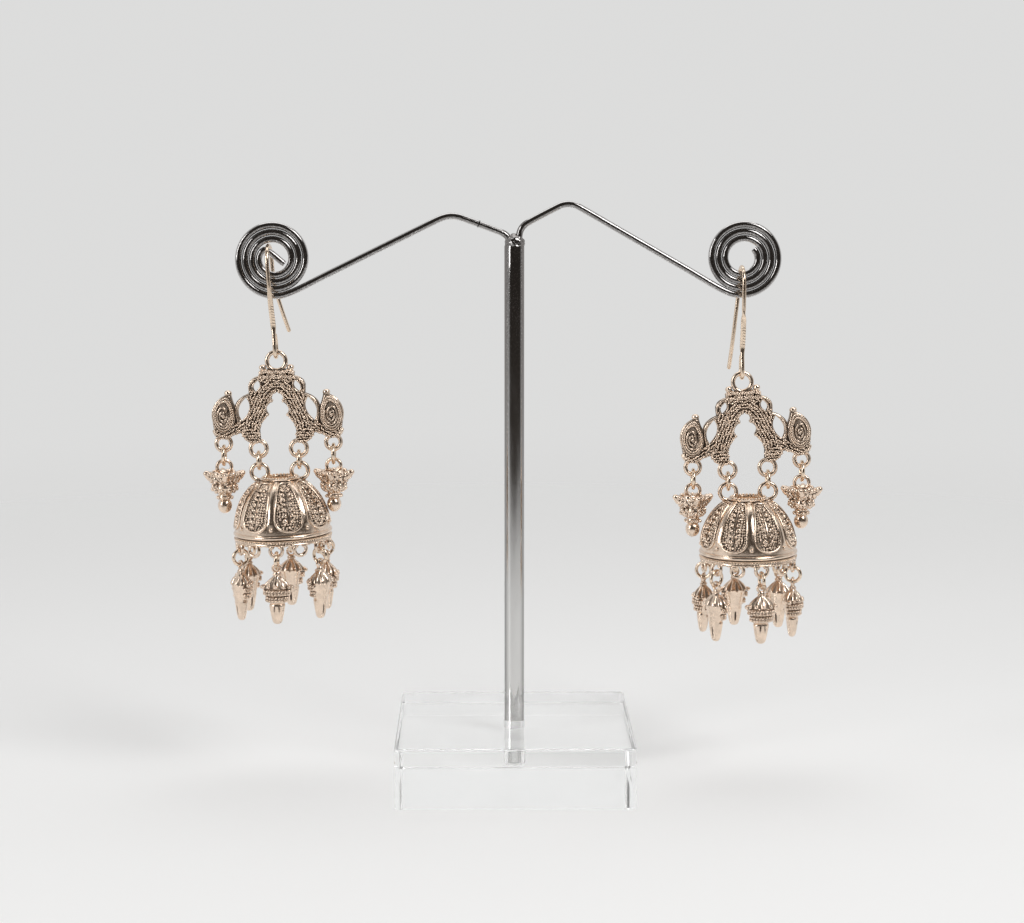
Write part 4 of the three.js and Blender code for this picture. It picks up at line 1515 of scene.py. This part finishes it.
# %% Rim rope, collar beads and loops of the bell
ROPE_COUNT, ROPE_RADIUS, ROPE_Z = 104, 10.16, -1.12
COLLAR_BEADS, COLLAR_RADIUS, COLLAR_Z = 30, 3.55, 11.5
BELL_LOOP_Z = 12.7


def out_from(angle):
    return Vector((math.sin(angle), -math.cos(angle), 0))


rim_places = []
for i in range(ROPE_COUNT):
    a = FULL_TURN * i / ROPE_COUNT
    point = out_from(a) * ROPE_RADIUS + UPRIGHT * ROPE_Z
    along = Vector((math.cos(a), math.sin(a), 0.7))
    rim_places.append((point, along, out_from(a), (0.38, 0.23, 0.26)))
for i in range(PETALS):
    point, up = bell_place(i * 360 / PETALS, 6.0, 0.06)
    rim_places.append((point, UPRIGHT, up, (0.5, 0.46, 0.34)))
for i in range(COLLAR_BEADS):
    outwards = out_from(FULL_TURN * i / COLLAR_BEADS)
    point = outwards * COLLAR_RADIUS + UPRIGHT * COLLAR_Z
    rim_places.append((point, UPRIGHT, outwards, (0.34, 0.34, 0.34)))
web_places = []
for way in (-1, 1):
    for x, z, size in ((0.95, 0.72, (0.62, 0.44, 0.42)), (1.75, 1.0, (0.6, 0.34, 0.4))):
        web_places.append((Vector((way * x, 0, z)), SIDEWAYS, -INTO_PICTURE, size))


def bell_parts(spin, petal_turn):
    """The parts of one bell. Its petals and its rim loops are turned separately about its axis."""
    turn = spun(petal_turn)
    body = in_scene("bell_body", bell_body.data.copy())
    parts = [
        moved(body, turn),
        moved(wires("petal_hems", hem_paths, 0.5, closed=True), turn),
        moved(wires("petal_stems", stem_paths, 0.3, sides=6), turn),
        moved(granules("petal_granules", petal_places), turn),
        moved(granules("rim_granules", rim_places), turn),
    ]
    for way in (-1, 1):
        where = shift(way * DOME_LOOP_X, 0, BELL_LOOP_Z)
        parts.append(moved(ring("bell_loop", 1.76, 0.92, steps=40, sides=12), where))
    for i in range(12):
        where = spun(spin + 30 * i) @ shift(0, -RIM_LOOP_AT, RIM_LOOP_Z)
        rim_loop = ring("rim_loop", RIM_LOOP_RADIUS + 0.05, 0.76, steps=24, sides=10)
        parts.append(moved(rim_loop, where))
        parts.append(moved(granules("loop_web", web_places), where))
    return parts


for side, row in EARRINGS.items():
    parts = bell_parts(row["spin"], row["petal_turn"])
    bell_mesh = casting(side + "_bell_casting", parts, reach=1.0)
    where = row["bell"] @ shift(0, 0, RIM_LOW)
    set_piece(side + "_bell_dome", bell_mesh, where, side + "_bell", side + "_dome", worked_gold)
bpy.data.objects.remove(bell_body)

# %% [markdown]
# ## Rim drops
# Six small drops hang from the rim: a flared cap, two roped tiers and a smooth blunt cone. They are
# flat castings, worked on one side and nearly plain on the other, with a slit down the back. One
# turned body with pressed-in lines makes the smooth shape, it is flattened front to back, and
# granules are set only on the worked side.

# %% Rim drop body
DROP_FLATTEN = 0.78
DROP_ROWS = [
    (0, -0.72), (0.55, -0.74), (0.72, -0.95), (0.74, -1.2), (0.66, -1.4), (0.8, -1.62),
    (1.15, -1.95), (1.6, -2.3), (2.05, -2.7), (2.4, -3.1), (2.65, -3.5), (2.8, -3.85),
    (2.78, -4.05), (2.5, -4.2), (2.2, -4.3), (2.3, -4.42), (2.62, -4.56), (2.74, -4.9),
    (2.7, -5.3), (2.5, -5.6), (2.1, -5.75), (1.95, -5.88), (2.1, -6.0), (2.28, -6.2),
    (2.28, -6.6), (2.14, -7.0), (1.85, -7.25), (1.55, -7.38), (1.5, -7.5), (1.62, -7.65),
    (1.66, -7.9), (1.64, -8.15), (1.6, -8.4), (1.5, -9.0), (1.38, -9.7), (1.24, -10.4),
    (1.1, -11.0), (0.96, -11.4), (0.72, -11.68), (0.4, -11.82), (0, -11.86),
]


def from_front(angle):
    """Degrees round the drop from the middle of its worked side."""
    return math.degrees(math.atan2(math.sin(angle + math.pi / 2), math.cos(angle + math.pi / 2)))


def worked_radius(radius, height, front):
    """The radius with leaf lines on the cap, two notches in front and a plain, slit back."""
    front = abs(front)
    if -4.1 < height < -1.6:
        fade = smooth_step(-height, 1.6, 2.4)
        return radius * (1 - 0.2 * fade * abs(math.sin(math.radians(front) * 4.5)) ** 6)
    if -8.5 < height < -8.1 and 14 < front < 26:
        return radius - 0.4
    if -10.5 < height < -8.6 and front > 173:
        return radius - 0.3
    if -7.8 < height < -4.1:
        plain = 2.5 + 0.235 * (height + 4.1)
        return radius + (plain - radius) * smooth_step(front, 100, 122)
    return radius


drop_body = turned("drop_body", DROP_ROWS, 90)
grounds = []
for vert in drop_body.data.vertices:
    radius = math.hypot(vert.co.x, vert.co.y)
    front = from_front(math.atan2(vert.co.y, vert.co.x))
    fresh = worked_radius(radius, vert.co.z, front) if radius > 0.01 else radius
    keep = fresh / max(radius, 0.01)
    vert.co.x *= keep
    vert.co.y *= keep * DROP_FLATTEN
    on_cap_line = vert.co.z > -4.1 and keep < 0.9
    grounds.append(1.0 if vert.co.z < -7.8 and keep < 0.85 else 0.62 if on_cap_line else 0.0)
set_ground(drop_body, grounds)
print("drop body has", len(drop_body.data.polygons), "faces")

# %% Rim drop granules
def drop_place(radius, height, front, size, slant=0.0):
    """A place on the drop, front in degrees from the middle of its worked side."""
    a = math.radians(front)
    outwards = out_from(a)
    point = Vector((radius * outwards.x, radius * outwards.y * DROP_FLATTEN, height))
    along = Vector((math.cos(a), math.sin(a) * DROP_FLATTEN, slant))
    return point, along, Vector((outwards.x * DROP_FLATTEN, outwards.y, 0)).normalized(), size


drop_places = []
for radius, low, high, count in ((2.72, -4.72, -5.3, 15), (2.26, -6.16, -6.76, 13)):
    for height, slant in ((low, 0.8), (high, -0.8)):
        for i in range(count):
            front = -104 + 208 * i / (count - 1)
            drop_places.append(drop_place(radius, height, front, (0.42, 0.25, 0.27), slant))
for front in (-36, 0, 36):
    drop_places.append(drop_place(2.66, -3.72, front, (0.52, 0.46, 0.46)))
for front in (-90, 90, -66, 66):
    drop_places.append(drop_place(2.86, -3.8, front, (0.42, 0.42, 0.42)))
for front in (-90, 90):
    drop_places.append(drop_place(3.1, -3.95, front, (0.56, 0.5, 0.5)))
for i in range(8):
    drop_places.append(drop_place(0.72, -1.3, 45 * i, (0.26, 0.22, 0.22)))
DROP_HANG = -2.45
drop_loop = ring("drop_loop", 0.85, 0.56, steps=28, sides=10)
drop_parts = [drop_body, drop_loop, granules("drop_granules", drop_places)]
drop_mesh = casting("rim_drop", drop_parts, reach=0.8)
for side, row in EARRINGS.items():
    for i in range(RIM_DROPS):
        node = f"{side}_rim_drop_{i + 1}"
        where = rim_chain(row, i) @ shift(0, 0, DROP_HANG) @ spun(row["turns"][i])
        set_piece(node + "_bud", drop_mesh, where, side + "_bell", node, drop_gold)

# %% Size and finish
low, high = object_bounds()
{"cad": [list(cad_low), list(cad_high)], "visual": [list(low), list(high)]}
print("visual box in mm:", [round(v / MM, 1) for v in (*low, *high)])
